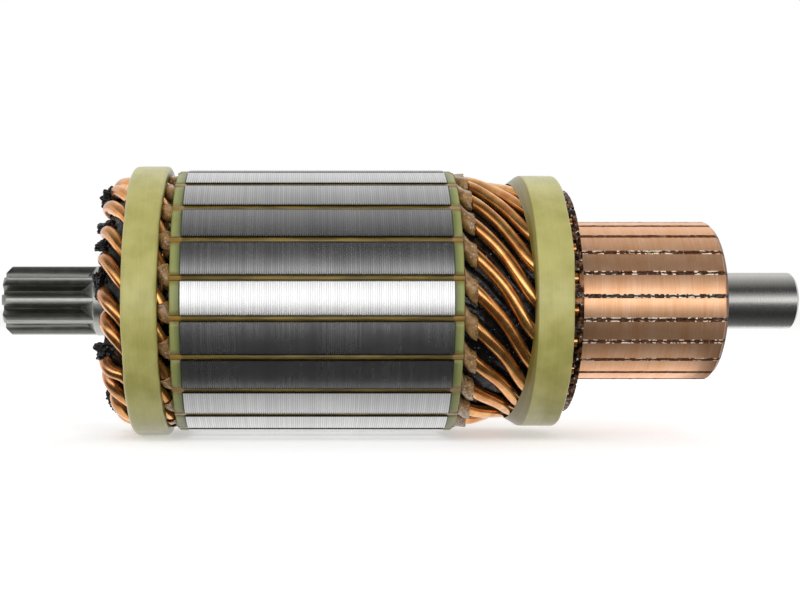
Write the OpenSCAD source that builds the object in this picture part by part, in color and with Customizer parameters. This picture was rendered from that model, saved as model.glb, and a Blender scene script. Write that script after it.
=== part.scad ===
// Armature of a gear-reduction starter motor: a steel shaft with a pinion cut on
// its drive end, a slotted core, a two-layer hairpin winding tied down with glass
// bands, and a riser commutator. The shaft runs along X, commutator towards +X,
// with the origin on the shaft's axis, midway along the overall length.

/* [Shaft] */
// Journal diameter at the commutator end
journal_d = 14; // [12:0.5:14.5]
// Free length of that journal, past the commutator
journal_l = 21.2; // [15:0.2:30]
// Shaft diameter under the commutator hub
hub_seat_d = 15; // [14.5:0.5:16]
// Shaft diameter under the core
core_seat_d = 17; // [16.5:0.5:17]

/* [Pinion] */
// Number of teeth cut on the shaft
tooth_n = 9; // [8:1:11]
// Tip diameter of the teeth
gear_tip_d = 17.2; // [16.5:0.1:18]
// Root diameter between the teeth
gear_root_d = 10.4; // [10:0.1:11]
// Length of the teeth at full depth
gear_l = 19; // [12:0.1:26]
// Bare shaft between the teeth's run-out and the winding
gear_neck_l = 4.6; // [4:0.1:8]
// Chamfer on the end of the teeth
gear_chamfer = 1.4; // [0.5:0.1:1.8]

/* [Core] */
// Outer diameter of the stack
core_d = 65; // [64:0.5:66]
// Length of the stack
core_l = 62; // [40:1:80]
// Number of slots, which is also the number of hairpins and bars
slot_n = 22; // [20:1:22]
// Width of a slot
slot_w = 3.8; // [3.75:0.05:3.85]
// Width of a slot's mouth in the core's surface
mouth_w = 1.4; // [1.3:0.1:2]
// Angle of the first slot from the horizontal
slot_phase = -9.3; // [-16:0.1:16]
// Thickness of the insulating disc on the drive side
disc_drive_t = 2.5; // [1:0.1:2.5]
// Thickness of the insulating disc on the commutator side
disc_commutator_t = 2.3; // [1:0.1:2.4]

/* [Winding] */
// Diameter of the enamelled wire
wire_d = 3.1; // [2.9:0.05:3.1]
// Radius of the upper layer's wire centres in the slots
upper_r = 29.55; // [29.45:0.05:29.55]
// Radius of the lower layer's wire centres in the slots
lower_r = 26.4; // [26.2:0.05:26.4]
// How many slots a hairpin spans
coil_span = 5; // [5:1:6]
// How far the wire centres reach past the straight part at the drive end
nose_l = 14.3; // [13:0.1:15]
// Axial length of the winding between the straight part and the risers
overhang_l = 22.4; // [22:0.1:26]
// How far an upper end twists round to its bar, in slots
upper_twist = 2.868; // [2.7:0.01:3]

/* [Bands] */
// Outer diameter of the drive-side glass band
band_drive_d = 66.9; // [66:0.1:68]
// Outer diameter of the commutator-side glass band
band_commutator_d = 62.3; // [61:0.1:64]
// Width of the drive-side band
band_drive_w = 8.7; // [7:0.1:8.8]
// Width of the commutator-side band
band_commutator_w = 9.4; // [8:0.1:9.4]

/* [Commutator] */
// Diameter of the brush track
track_d = 39.2; // [38:0.1:40]
// Length of the brush track
track_l = 36; // [28:0.5:40]
// Outer diameter of the risers
riser_d = 55; // [54.8:0.1:56]
// Thickness of the risers along the shaft
riser_t = 3.8; // [3.6:0.1:4.4]
// Thickness of the mica between bars
mica_t = 0.8; // [0.6:0.1:1]
// Depth of the undercut over the mica
undercut = 0.7; // [0.4:0.1:1]

/* [Hidden] */
$fn = 96;
pitch = 360 / slot_n;
wire_r = wire_d / 2;

// Stations along the shaft, measured from the middle of the core
core_end = core_l / 2;
disc_drive_end = -core_end - disc_drive_t;
disc_commutator_end = core_end + disc_commutator_t;
liner_drive_end = disc_drive_end - 1.4;
liner_commutator_end = disc_commutator_end + 1.2;
straight_drive = liner_drive_end - 0.5;
straight_commutator = liner_commutator_end + 0.5;
nose_end = straight_drive - nose_l;
riser_start = straight_commutator + overhang_l;
riser_end = riser_start + riser_t;
track_end = riser_end + track_l;
shaft_end = track_end + journal_l;
neck_r = gear_tip_d / 2 + 0.1;
runout_l = neck_r - gear_root_d / 2;
runout_start = nose_end - gear_neck_l - runout_l;
shaft_start = runout_start - gear_l;
middle = (shaft_start + shaft_end) / 2;

// Wire centres over the commutator-side end turns and in the risers
upper_band_r = (band_commutator_d - 4.1) / 2 - wire_r;
lower_band_r = 23.9;
riser_upper_r = riser_d / 2 - 0.15 - wire_r;
riser_lower_r = riser_upper_r - wire_d;
riser_slot_w = wire_d + 0.1;
riser_wall = 1;
upper_angle = upper_twist * pitch;
lower_angle = (5 - upper_twist) * pitch;

HAIRPINS = ["hairpin_01", "hairpin_02", "hairpin_03", "hairpin_04", "hairpin_05",
            "hairpin_06", "hairpin_07", "hairpin_08", "hairpin_09", "hairpin_10",
            "hairpin_11", "hairpin_12", "hairpin_13", "hairpin_14", "hairpin_15",
            "hairpin_16", "hairpin_17", "hairpin_18", "hairpin_19", "hairpin_20",
            "hairpin_21", "hairpin_22"];
BARS = ["commutator_bar_01", "commutator_bar_02", "commutator_bar_03", "commutator_bar_04",
        "commutator_bar_05", "commutator_bar_06", "commutator_bar_07", "commutator_bar_08",
        "commutator_bar_09", "commutator_bar_10", "commutator_bar_11", "commutator_bar_12",
        "commutator_bar_13", "commutator_bar_14", "commutator_bar_15", "commutator_bar_16",
        "commutator_bar_17", "commutator_bar_18", "commutator_bar_19", "commutator_bar_20",
        "commutator_bar_21", "commutator_bar_22"];

// Everything is drawn upright about Z, then laid down along X
module lie() {
    translate([-middle, 0, 0]) rotate([90, 0, 90]) children();
}

// ---- shaft with its pinion ----

// Involute gear with the tooth gaps closed at the root circle
pressure_angle = 20;
gear_module = (gear_tip_d - gear_root_d) / 2 / 2.25;
pitch_r = tooth_n * gear_module / 2;
base_r = pitch_r * cos(pressure_angle);
flank_steps = 5;

function involute(a) = tan(a) * 180 / PI - a;
// Half of a tooth's angle at radius r
function tooth_half(r) =
    90 / tooth_n + 2 * (gear_tip_d / 2 - pitch_r - gear_module) / gear_module
    * tan(pressure_angle) / tooth_n * 180 / PI
    + involute(pressure_angle) - involute(acos(min(1, base_r / r)));
function polar(r, a) = [r * cos(a), r * sin(a)];
function tooth_outline(centre) =
    let (root_r = gear_root_d / 2, tip_r = gear_tip_d / 2,
         start_r = max(base_r, root_r + 0.1),
         radii = [for (i = [0:flank_steps]) start_r + (tip_r - start_r) * i / flank_steps])
    concat(
        [polar(root_r, centre - tooth_half(start_r) - 3)],
        [for (r = radii) polar(r, centre - tooth_half(r))],
        [for (i = [flank_steps:-1:0]) polar(radii[i], centre + tooth_half(radii[i]))],
        [polar(root_r, centre + tooth_half(start_r) + 3)]);

module gear_section() {
    polygon([for (i = [0:tooth_n - 1]) each tooth_outline(180 - 2 + i * 360 / tooth_n)]);
}

module shaft() color("dimgray") lie() {
    tip_r = gear_tip_d / 2;
    // toothed end, chamfered by a turned envelope
    intersection() {
        translate([0, 0, shaft_start]) linear_extrude(gear_l + runout_l + 1) gear_section();
        translate([0, 0, shaft_start])
            cylinder(r1 = tip_r - gear_chamfer, r2 = tip_r + gear_l + runout_l,
                     h = gear_l + runout_l + gear_chamfer);
    }
    // turned steps, with the teeth running out on the first cone
    rotate_extrude() polygon([
        [0, runout_start - 0.5],
        [gear_root_d / 2 - 0.5, runout_start - 0.5],
        [neck_r, runout_start + runout_l],
        [neck_r, -core_end],
        [core_seat_d / 2, -core_end],
        [core_seat_d / 2, riser_start - 4],
        [hub_seat_d / 2, riser_start - 3],
        [hub_seat_d / 2, track_end],
        [journal_d / 2, track_end],
        [journal_d / 2, shaft_end - 0.6],
        [journal_d / 2 - 0.6, shaft_end],
        [0, shaft_end]]);
}

// ---- core ----

// Round-ended slot for two wires, one over the other
module slot_outline(w) {
    for (r = [lower_r, upper_r]) translate([r, 0]) circle(d = w, $fn = 32);
    translate([lower_r, -w / 2]) square([upper_r - lower_r, w]);
}

module slotted_disc(d, bore_d) {
    difference() {
        circle(d = d, $fn = 180);
        circle(d = bore_d);
        for (i = [0:slot_n - 1]) rotate(slot_phase + i * pitch) {
            slot_outline(slot_w);
            translate([upper_r, -mouth_w / 2]) square([core_d, mouth_w]);
        }
    }
}

module lamination_stack() color("silver") lie() {
    translate([0, 0, -core_end]) linear_extrude(core_l) slotted_disc(core_d, core_seat_d);
}

disc_step = 0.3;
module end_disc_drive() color("darkkhaki") lie() {
    translate([0, 0, disc_drive_end])
        linear_extrude(disc_drive_t) slotted_disc(core_d - 2 * disc_step, 2 * neck_r);
}

module end_disc_commutator() color("darkkhaki") lie() {
    translate([0, 0, core_end])
        linear_extrude(disc_commutator_t) slotted_disc(core_d - 2 * disc_step, core_seat_d);
}

// ---- winding ----

function ease(x0, x1, x) = let (t = max(0, min(1, (x - x0) / (x1 - x0)))) t * t * (3 - 2 * t);
// Radius of the upper layer over the commutator-side end turns
function upper_radius(s) =
    upper_r
    - (upper_r - upper_band_r) * ease(straight_commutator, straight_commutator + 11, s)
    - (upper_band_r - riser_upper_r) * ease(riser_start - 3.4, riser_start - 0.4, s);
// Radius of the lower layer there
function lower_radius(s) =
    lower_r
    - (lower_r - lower_band_r) * ease(straight_commutator, straight_commutator + 8, s)
    - (lower_band_r - riser_lower_r) * ease(riser_start - 8, riser_start - 1, s);

// Each run is a list of [share of the axial length, share of the twist]
upper_run = [[1, 1], [0.82, 0.975], [0.64, 0.85], [0.36, 0.42], [0.08, 0.065], [0, 0]];
lower_run = [[0, 0], [0.18, 0.13], [0.38, 0.38], [1, 1]];
// The hairpin's bend: [share of the nose length, share of the way from the upper
// layer down to the lower one, share of the coil span]
nose_run = [[0, 0, 0], [0.09, 0, 0.05], [0.36, 0, 0.21], [0.65, 0, 0.38], [0.91, 0.26, 0.49],
            [1, 0.95, 0.538], [0.91, 1.58, 0.585], [0.6, 1.62, 0.71], [0, 1, 1]];

// Points on a smooth curve through p, with n steps between neighbours
function spline(p, n) = concat(
    [for (i = [0:len(p) - 2]) for (k = [0:n - 1])
        let (t = k / n,
             a = p[max(0, i - 1)], b = p[i], c = p[i + 1], d = p[min(len(p) - 1, i + 2)])
        b + t * ((c - a) / 2 + t * ((2 * a - 5 * b + 4 * c - d) / 2
              + t * (3 * b - 3 * c + d - a) / 2))],
    [p[len(p) - 1]]);

// Centre lines of a hairpin's three bent runs, as [radius, angle, station]
upper_line = [for (q = spline(upper_run, 2)) let (s = straight_commutator + q[0] * overhang_l)
    [upper_radius(s), q[1] * upper_angle, s]];
nose_line = [for (q = spline(nose_run, 2))
    [upper_r - q[1] * (upper_r - lower_r), -q[2] * coil_span * pitch,
     straight_drive - q[0] * nose_l]];
lower_line = [for (q = spline(lower_run, 1)) let (s = straight_commutator + q[0] * overhang_l)
    [lower_radius(s), -coil_span * pitch - q[1] * lower_angle, s]];

// The whole hairpin, from the riser it leaves to the one it ends in, ten bars round
riser_reach = riser_end - riser_wall - 0.2;
hairpin_line = concat(
    [[riser_upper_r, upper_angle, riser_reach]], upper_line, nose_line, lower_line,
    [[riser_lower_r, -coil_span * pitch - lower_angle, riser_reach]]);

function cartesian(q) = [q[0] * cos(q[1]), q[0] * sin(q[1]), q[2]];
function unit(v) = v / norm(v);
sides = 8;

// Round wire along a list of [radius, angle, station]
module wire(line) {
    pts = [for (q = line) cartesian(q)];
    last = len(pts) - 1;
    rings = [for (i = [0:last])
        let (along = unit(
                 (i < last ? unit(pts[i + 1] - pts[i]) : [0, 0, 0])
                 + (i > 0 ? unit(pts[i] - pts[i - 1]) : [0, 0, 0])),
             out = [cos(line[i][1]), sin(line[i][1]), 0],
             up = unit(out - (out * along) * along),
             side = cross(along, up))
        for (k = [0:sides - 1])
            pts[i] + wire_r * (cos(k * 360 / sides) * up + sin(k * 360 / sides) * side)];
    polyhedron(rings, concat(
        [[for (k = [sides - 1:-1:0]) k]],
        [for (i = [0:last - 1]) for (k = [0:sides - 1])
            let (n = (k + 1) % sides)
            [i * sides + k, i * sides + n, (i + 1) * sides + n, (i + 1) * sides + k]],
        [[for (k = [0:sides - 1]) last * sides + k]]), convexity = 6);
}

module hairpin(i) color("chocolate") lie() {
    rotate(slot_phase + i * pitch) wire(hairpin_line);
}

// ---- slot liners: folded sleeves whose lap stands in the slot mouth ----

liner_t = 0.3;
lap_w = mouth_w - 0.4;
cuff_clear = 0.3;
cuff_out = 1.5;
cuff_in = 0.6;

// Paper cuff that leans out of the slot with one wire, cut square at both ends and
// open towards the other layer. near and far are two points of the wire's line,
// side = 1 for the upper layer
module cuff(near, far, side) {
    bend = [near[0], 0, near[2]];
    way = unit(cartesian([far[0], far[1] - near[1], far[2]]) - bend);
    turn = atan2(way[1], way[0]);
    bore_r = wire_r + cuff_clear;
    split = (upper_r - lower_r) / 2 - 0.05;
    difference() {
        translate(bend + [0, cuff_clear / 2 * sign(way[1]), 0])
            rotate([0, acos(way[2]), turn]) rotate(-turn) translate([0, 0, -3])
                linear_extrude(9) difference() {
                    circle(r = bore_r + liner_t);
                    circle(r = bore_r);
                    translate([side > 0 ? -10 - split : split, -5]) square([10, 10]);
                }
        translate([0, -10, bend[2] + cuff_out]) cube([60, 20, 20]);
        translate([0, -10, bend[2] - cuff_in - 20]) cube([60, 20, 20]);
    }
}

module slot_liner() {
    difference() {
        union() {
            translate([0, 0, liner_drive_end])
                linear_extrude(liner_commutator_end - liner_drive_end) slot_outline(slot_w);
            translate([upper_r, -lap_w / 2, disc_drive_end])
                cube([core_d / 2 - disc_step - upper_r, lap_w,
                      disc_commutator_end - disc_drive_end]);
        }
        translate([0, 0, liner_drive_end - 1])
            linear_extrude(liner_commutator_end - liner_drive_end + 2)
                slot_outline(slot_w - 2 * liner_t);
    }
    last = len(upper_line) - 1;
    cuff(upper_line[last], upper_line[last - 2], 1);
    cuff(lower_line[0], lower_line[1], -1);
}

module slot_liners() color("peru") lie() {
    for (i = [0:slot_n - 1]) rotate(slot_phase + i * pitch) slot_liner();
}

// Black insulation between the two layers, pressed in under the upper wires
layer_clear = 0.15;
layer_t = 1;
module layer_insulation_commutator() color([0.1, 0.1, 0.1]) lie() {
    from = straight_commutator + 2.4;
    to = riser_start - 3.5;
    steps = 7;
    stations = [for (i = [0:steps]) from + (to - from) * i / steps];
    outer = [for (s = stations) upper_radius(s) - wire_r - layer_clear];
    rotate_extrude() polygon(concat(
        [for (i = [0:steps]) [outer[i], stations[i]]],
        [for (i = [steps:-1:0])
            [outer[i] - min(layer_t, outer[i] - lower_radius(stations[i]) - wire_r), stations[i]]]));
}

module layer_insulation_drive() color([0.1, 0.1, 0.1]) lie() {
    top_r = upper_r - wire_r - layer_clear;
    bottom_r = top_r - 1.7;
    rotate_extrude() polygon([
        [top_r, straight_drive - 1.6],
        [top_r, straight_drive - 0.66 * nose_l],
        [top_r - 0.6, straight_drive - 0.82 * nose_l],
        [bottom_r, straight_drive - 0.82 * nose_l],
        [bottom_r, straight_drive - 0.6 * nose_l],
        [top_r - 0.2, straight_drive - 1.6]]);
}

// Insulating collar inside the hairpin noses, against the end disc
collar_t = 1.8;
module end_collar_drive() color([0.1, 0.1, 0.1]) lie() {
    out_r = upper_r - 1.64 * (upper_r - lower_r) - wire_r - layer_clear;
    rotate_extrude() polygon([
        [out_r, disc_drive_end],
        [out_r, nose_end + 0.5],
        [out_r - 0.5, nose_end],
        [out_r - collar_t, nose_end],
        [out_r - collar_t, disc_drive_end]]);
}

// ---- glass-fibre bands, with rounded edges ----

module band(inner_d, outer_d, from, w) {
    edge = 0.9;
    thick = (outer_d - inner_d) / 2;
    translate([0, 0, from]) rotate_extrude() {
        translate([inner_d / 2, 0]) square([thick - edge, w]);
        translate([inner_d / 2, edge]) square([thick, w - 2 * edge]);
        for (s = [edge, w - edge]) translate([outer_d / 2 - edge, s]) circle(r = edge, $fn = 32);
    }
}

band_drive_start = disc_drive_end - 2.2 - band_drive_w;
module band_drive() color("darkkhaki") lie() {
    band(2 * (upper_r + wire_r), band_drive_d, band_drive_start, band_drive_w);
}

band_commutator_start = riser_start + 1.7 - band_commutator_w;
module band_commutator() color("darkkhaki") lie() {
    band(2 * (upper_band_r + wire_r), band_commutator_d, band_commutator_start,
         band_commutator_w);
}

// ---- commutator ----

bar_phase = slot_phase + upper_angle;
track_chamfer = 1;
seat_r = 14.4;
dovetail_r = 17.4;
dovetail_in = 5.6;
dovetail_slope = 2;

// Bar and mica share one section, [radius, station], down to the dovetail
function bar_section(top_r, riser_r, chamfer) = [
    [riser_r, riser_start],
    [riser_r, riser_end],
    [top_r, riser_end],
    [top_r, track_end - chamfer],
    [top_r - chamfer, track_end],
    [dovetail_r, track_end],
    [dovetail_r, track_end - dovetail_in],
    [seat_r, track_end - dovetail_in + dovetail_slope],
    [seat_r, riser_start + dovetail_in - dovetail_slope],
    [dovetail_r, riser_start + dovetail_in],
    [dovetail_r, riser_start]];

module commutator_bar(i) color([0.8, 0.5, 0.36]) lie() {
    rotate(bar_phase + i * pitch) difference() {
        rotate(-pitch / 2) rotate_extrude(angle = pitch, $fn = 180)
            polygon(bar_section(track_d / 2, riser_d / 2, track_chamfer));
        // half of the mica's thickness comes off each side
        for (side = [-1, 1]) rotate(side * pitch / 2)
            translate([0, -mica_t / 2, riser_start - 1])
                cube([riser_d, mica_t, track_end - riser_start + 2]);
        // slot that takes the two wire ends, closed on the track side
        translate([riser_lower_r - wire_r, -riser_slot_w / 2, riser_start - 1])
            cube([riser_d, riser_slot_w, riser_t + 1 - riser_wall]);
    }
}

module mica_separators() color("gray") lie() {
    for (i = [0:slot_n - 1]) rotate(bar_phase + (i + 0.5) * pitch)
        translate([0, mica_t / 2, 0]) rotate([90, 0, 0]) linear_extrude(mica_t)
            polygon(bar_section(track_d / 2 - undercut, riser_d / 2 - 0.5, 0.3));
}

// Moulded hub, keyed into the dovetails of the bars
module commutator_hub() color([0.16, 0.12, 0.1]) lie() {
    rotate_extrude() polygon([
        [hub_seat_d / 2, riser_start],
        [dovetail_r, riser_start],
        [dovetail_r, riser_start + dovetail_in],
        [seat_r, riser_start + dovetail_in - dovetail_slope],
        [seat_r, track_end - dovetail_in + dovetail_slope],
        [dovetail_r, track_end - dovetail_in],
        [dovetail_r, track_end - 0.5],
        [dovetail_r - 1, track_end - 0.5],
        [dovetail_r - 2.5, track_end - 1.5],
        [hub_seat_d / 2, track_end - 1.5]]);
}

shaft();
lamination_stack();
end_disc_drive();
end_disc_commutator();
slot_liners();
layer_insulation_drive();
layer_insulation_commutator();
end_collar_drive();
band_drive();
band_commutator();
commutator_hub();
mica_separators();
for (i = [0:slot_n - 1]) hairpin(i);
for (i = [0:slot_n - 1]) commutator_bar(i);
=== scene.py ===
"""Looks of a starter motor's armature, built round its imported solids.

The shaft lies along X with the commutator towards +X. Stations, written s, are
millimetres along the shaft from the middle of the core. Angles, written a, are
degrees round the shaft from +Y towards +Z, so the side towards -Y is at 180.
"""

import logging
import math
import random
from dataclasses import dataclass, field
from enum import Enum
from typing import Callable, ClassVar, Iterable, Sequence

import bmesh
import bpy
from mathutils import Matrix, Vector, noise


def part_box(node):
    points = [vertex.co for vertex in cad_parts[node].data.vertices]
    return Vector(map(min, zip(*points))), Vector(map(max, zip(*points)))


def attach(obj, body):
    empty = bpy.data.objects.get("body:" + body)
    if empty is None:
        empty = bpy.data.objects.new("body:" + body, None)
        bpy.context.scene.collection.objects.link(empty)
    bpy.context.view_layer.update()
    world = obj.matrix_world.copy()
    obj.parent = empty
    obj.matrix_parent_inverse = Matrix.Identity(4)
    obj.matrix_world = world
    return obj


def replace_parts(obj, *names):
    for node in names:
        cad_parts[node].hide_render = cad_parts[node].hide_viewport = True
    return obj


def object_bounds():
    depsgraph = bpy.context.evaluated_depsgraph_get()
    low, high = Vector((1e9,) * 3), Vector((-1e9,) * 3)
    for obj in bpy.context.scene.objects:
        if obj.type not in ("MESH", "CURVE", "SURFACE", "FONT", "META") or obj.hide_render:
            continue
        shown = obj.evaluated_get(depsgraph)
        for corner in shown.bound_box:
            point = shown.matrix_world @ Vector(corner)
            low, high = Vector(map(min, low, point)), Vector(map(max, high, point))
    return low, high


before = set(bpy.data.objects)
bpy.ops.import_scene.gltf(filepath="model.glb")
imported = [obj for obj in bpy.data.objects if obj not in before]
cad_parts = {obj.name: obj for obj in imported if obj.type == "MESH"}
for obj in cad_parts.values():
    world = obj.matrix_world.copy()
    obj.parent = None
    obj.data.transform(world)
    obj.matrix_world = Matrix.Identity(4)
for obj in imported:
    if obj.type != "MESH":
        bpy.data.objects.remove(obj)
cad_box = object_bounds()

log = logging.getLogger("armature")

MM = 0.001
BODY = "root"
SLOTS = 22
PITCH = 360 / SLOTS
SLOT_PHASE = -9.3
# noise vectors are seeded by the clock unless a seed other than 0 is set
NOISE_SEED = 1
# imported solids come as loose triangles: corners closer than this, in metres, are joined
WELD = 2e-6
# corners that fall on the same spot or plane, in metres
SAME = 1e-7

Colour = tuple[float, float, float]
Point = tuple[float, float, float]


# ---- places on the armature ----

@dataclass(frozen=True)
class Layout:
    """Main stations and radii in millimetres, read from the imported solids."""

    core_centre: float
    core_r: float
    disc_drive: float
    disc_commutator: float
    band_start: float
    riser_end: float
    riser_r: float
    track_end: float
    track_r: float = 19.6
    riser_t: ClassVar[float] = 3.8

    @classmethod
    def from_frame(cls) -> "Layout":
        """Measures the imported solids.

        Returns:
            The layout that every sub-assembly is built from.
        """
        core_lo, core_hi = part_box("lamination_stack")
        centre = (core_lo.x + core_hi.x) / 2 / MM

        def end_of(node: str, end: int) -> float:
            """Station of a solid's first (0) or last (1) end."""
            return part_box(node)[end].x / MM - centre

        return cls(
            core_centre=centre,
            core_r=(core_hi.z - core_lo.z) / 2 / MM,
            disc_drive=end_of("end_disc_drive", 0),
            disc_commutator=end_of("end_disc_commutator", 1),
            band_start=end_of("band_commutator", 0),
            riser_end=end_of("mica_separators", 0) + cls.riser_t,
            riser_r=max(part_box(name)[1].z for name in numbered("commutator_bar")) / MM,
            track_end=end_of("mica_separators", 1),
        )

    def station(self, place: Vector) -> float:
        """Station of a point in metres."""
        return place.x / MM - self.core_centre

    def at(self, radius: float, angle: float, station: float) -> Vector:
        """Turns a place on the armature into a point.

        Args:
            radius: Distance from the shaft's axis, in millimetres.
            angle: Degrees round the shaft.
            station: Place along the shaft, in millimetres.

        Returns:
            The point, in metres.
        """
        turn = math.radians(angle)
        return Vector((
            (station + self.core_centre) * MM,
            radius * math.cos(turn) * MM,
            radius * math.sin(turn) * MM,
        ))


def numbered(stem: str) -> list[str]:
    """Names of the solids that repeat once for each slot."""
    return [f"{stem}_{i + 1:02d}" for i in range(SLOTS)]


def ease(start: float, end: float, value: float) -> float:
    """Smooth step from 0 at start to 1 at end."""
    share = max(0.0, min(1.0, (value - start) / (end - start)))
    return share * share * (3 - 2 * share)


def spread(first: float, last: float, cuts: int) -> list[float]:
    """Even places from first to last, both included."""
    return [first + (last - first) * k / cuts for k in range(cuts + 1)]


def outwards(place: Vector) -> Vector:
    """Direction away from the shaft's axis."""
    return Vector((0, place.y, place.z)).normalized()


def angle_of(place: Vector) -> float:
    """Angle of a point, in degrees."""
    return math.degrees(math.atan2(place.z, place.y))


def follow(run: Sequence[tuple[float, float]], place: float) -> float:
    """Reads a run of values, straight between its points.

    Args:
        run: Pairs of place and value, by rising place.
        place: The place to read at.

    Returns:
        The value there, or the nearest end's value.
    """
    value = run[0][1]
    for (near, first), (far, last) in zip(run, run[1:]):
        if place > near:
            value = first + (last - first) * min(1.0, (place - near) / (far - near))
    return value


def smooth_run(points: Sequence[Point], steps: int) -> list[Point]:
    """Puts steps between neighbouring points, on a curve through all of them.

    Args:
        points: The few points that the curve passes through.
        steps: How many pieces each gap is cut into.

    Returns:
        The points of the smooth run, ends included.
    """
    run: list[Point] = []
    last = len(points) - 1
    for i in range(last):
        a, b, c, d = (Vector(points[max(0, min(last, i + k))]) for k in (-1, 0, 1, 2))
        for k in range(steps):
            t = k / steps
            run.append(tuple(
                b + t * ((c - a) / 2 + t * ((2 * a - 5 * b + 4 * c - d) / 2
                                            + t * (3 * b - 3 * c + d - a) / 2))))
    run.append(tuple(points[-1]))
    return run


# ---- shader writing ----

class Signal:
    """A number in a shader, which adds Math nodes when it is used in a sum."""

    def __init__(self, tree: "Tree", socket: bpy.types.NodeSocket) -> None:
        """Wraps one output socket of a tree."""
        self.tree = tree
        self.socket = socket

    def math(self, operation: str, *others: "Signal | float", first: bool = True) -> "Signal":
        """Adds one Math node.

        Args:
            operation: The node's operation.
            others: The other operands, in order.
            first: Whether this signal is the first operand or the last.

        Returns:
            The node's value.
        """
        operands = [self, *others] if first else [*others, self]
        return self.tree.node("ShaderNodeMath", {"operation": operation},
                              dict(enumerate(operands)))

    def __add__(self, other: "Signal | float") -> "Signal":
        """Sum."""
        return self.math("ADD", other)

    __radd__ = __add__

    def __sub__(self, other: "Signal | float") -> "Signal":
        """Difference."""
        return self.math("SUBTRACT", other)

    def __rsub__(self, other: float) -> "Signal":
        """Difference from a number."""
        return self.math("SUBTRACT", other, first=False)

    def __mul__(self, other: "Signal | float") -> "Signal":
        """Product."""
        return self.math("MULTIPLY", other)

    __rmul__ = __mul__

    def __truediv__(self, other: "Signal | float") -> "Signal":
        """Quotient."""
        return self.math("DIVIDE", other)

    def __abs__(self) -> "Signal":
        """Size without its sign."""
        return self.math("ABSOLUTE")

    def wrapped(self, period: float) -> "Signal":
        """Distance from the nearest whole multiple of a period."""
        return self.math("WRAP", period / 2, -period / 2)

    def rise(self, start: float, end: float) -> "Signal":
        """Smooth step from 0 at start to 1 at end, which may run backwards.

        Args:
            start: Where the step begins.
            end: Where it ends.

        Returns:
            The step.
        """
        return self.tree.node(
            "ShaderNodeMapRange", {"interpolation_type": "SMOOTHSTEP"},
            {"Value": self, "From Min": start, "From Max": end})

    def clamped(self) -> "Signal":
        """The signal kept between 0 and 1."""
        return self.math("MAXIMUM", 0.0).math("MINIMUM", 1.0)


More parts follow.
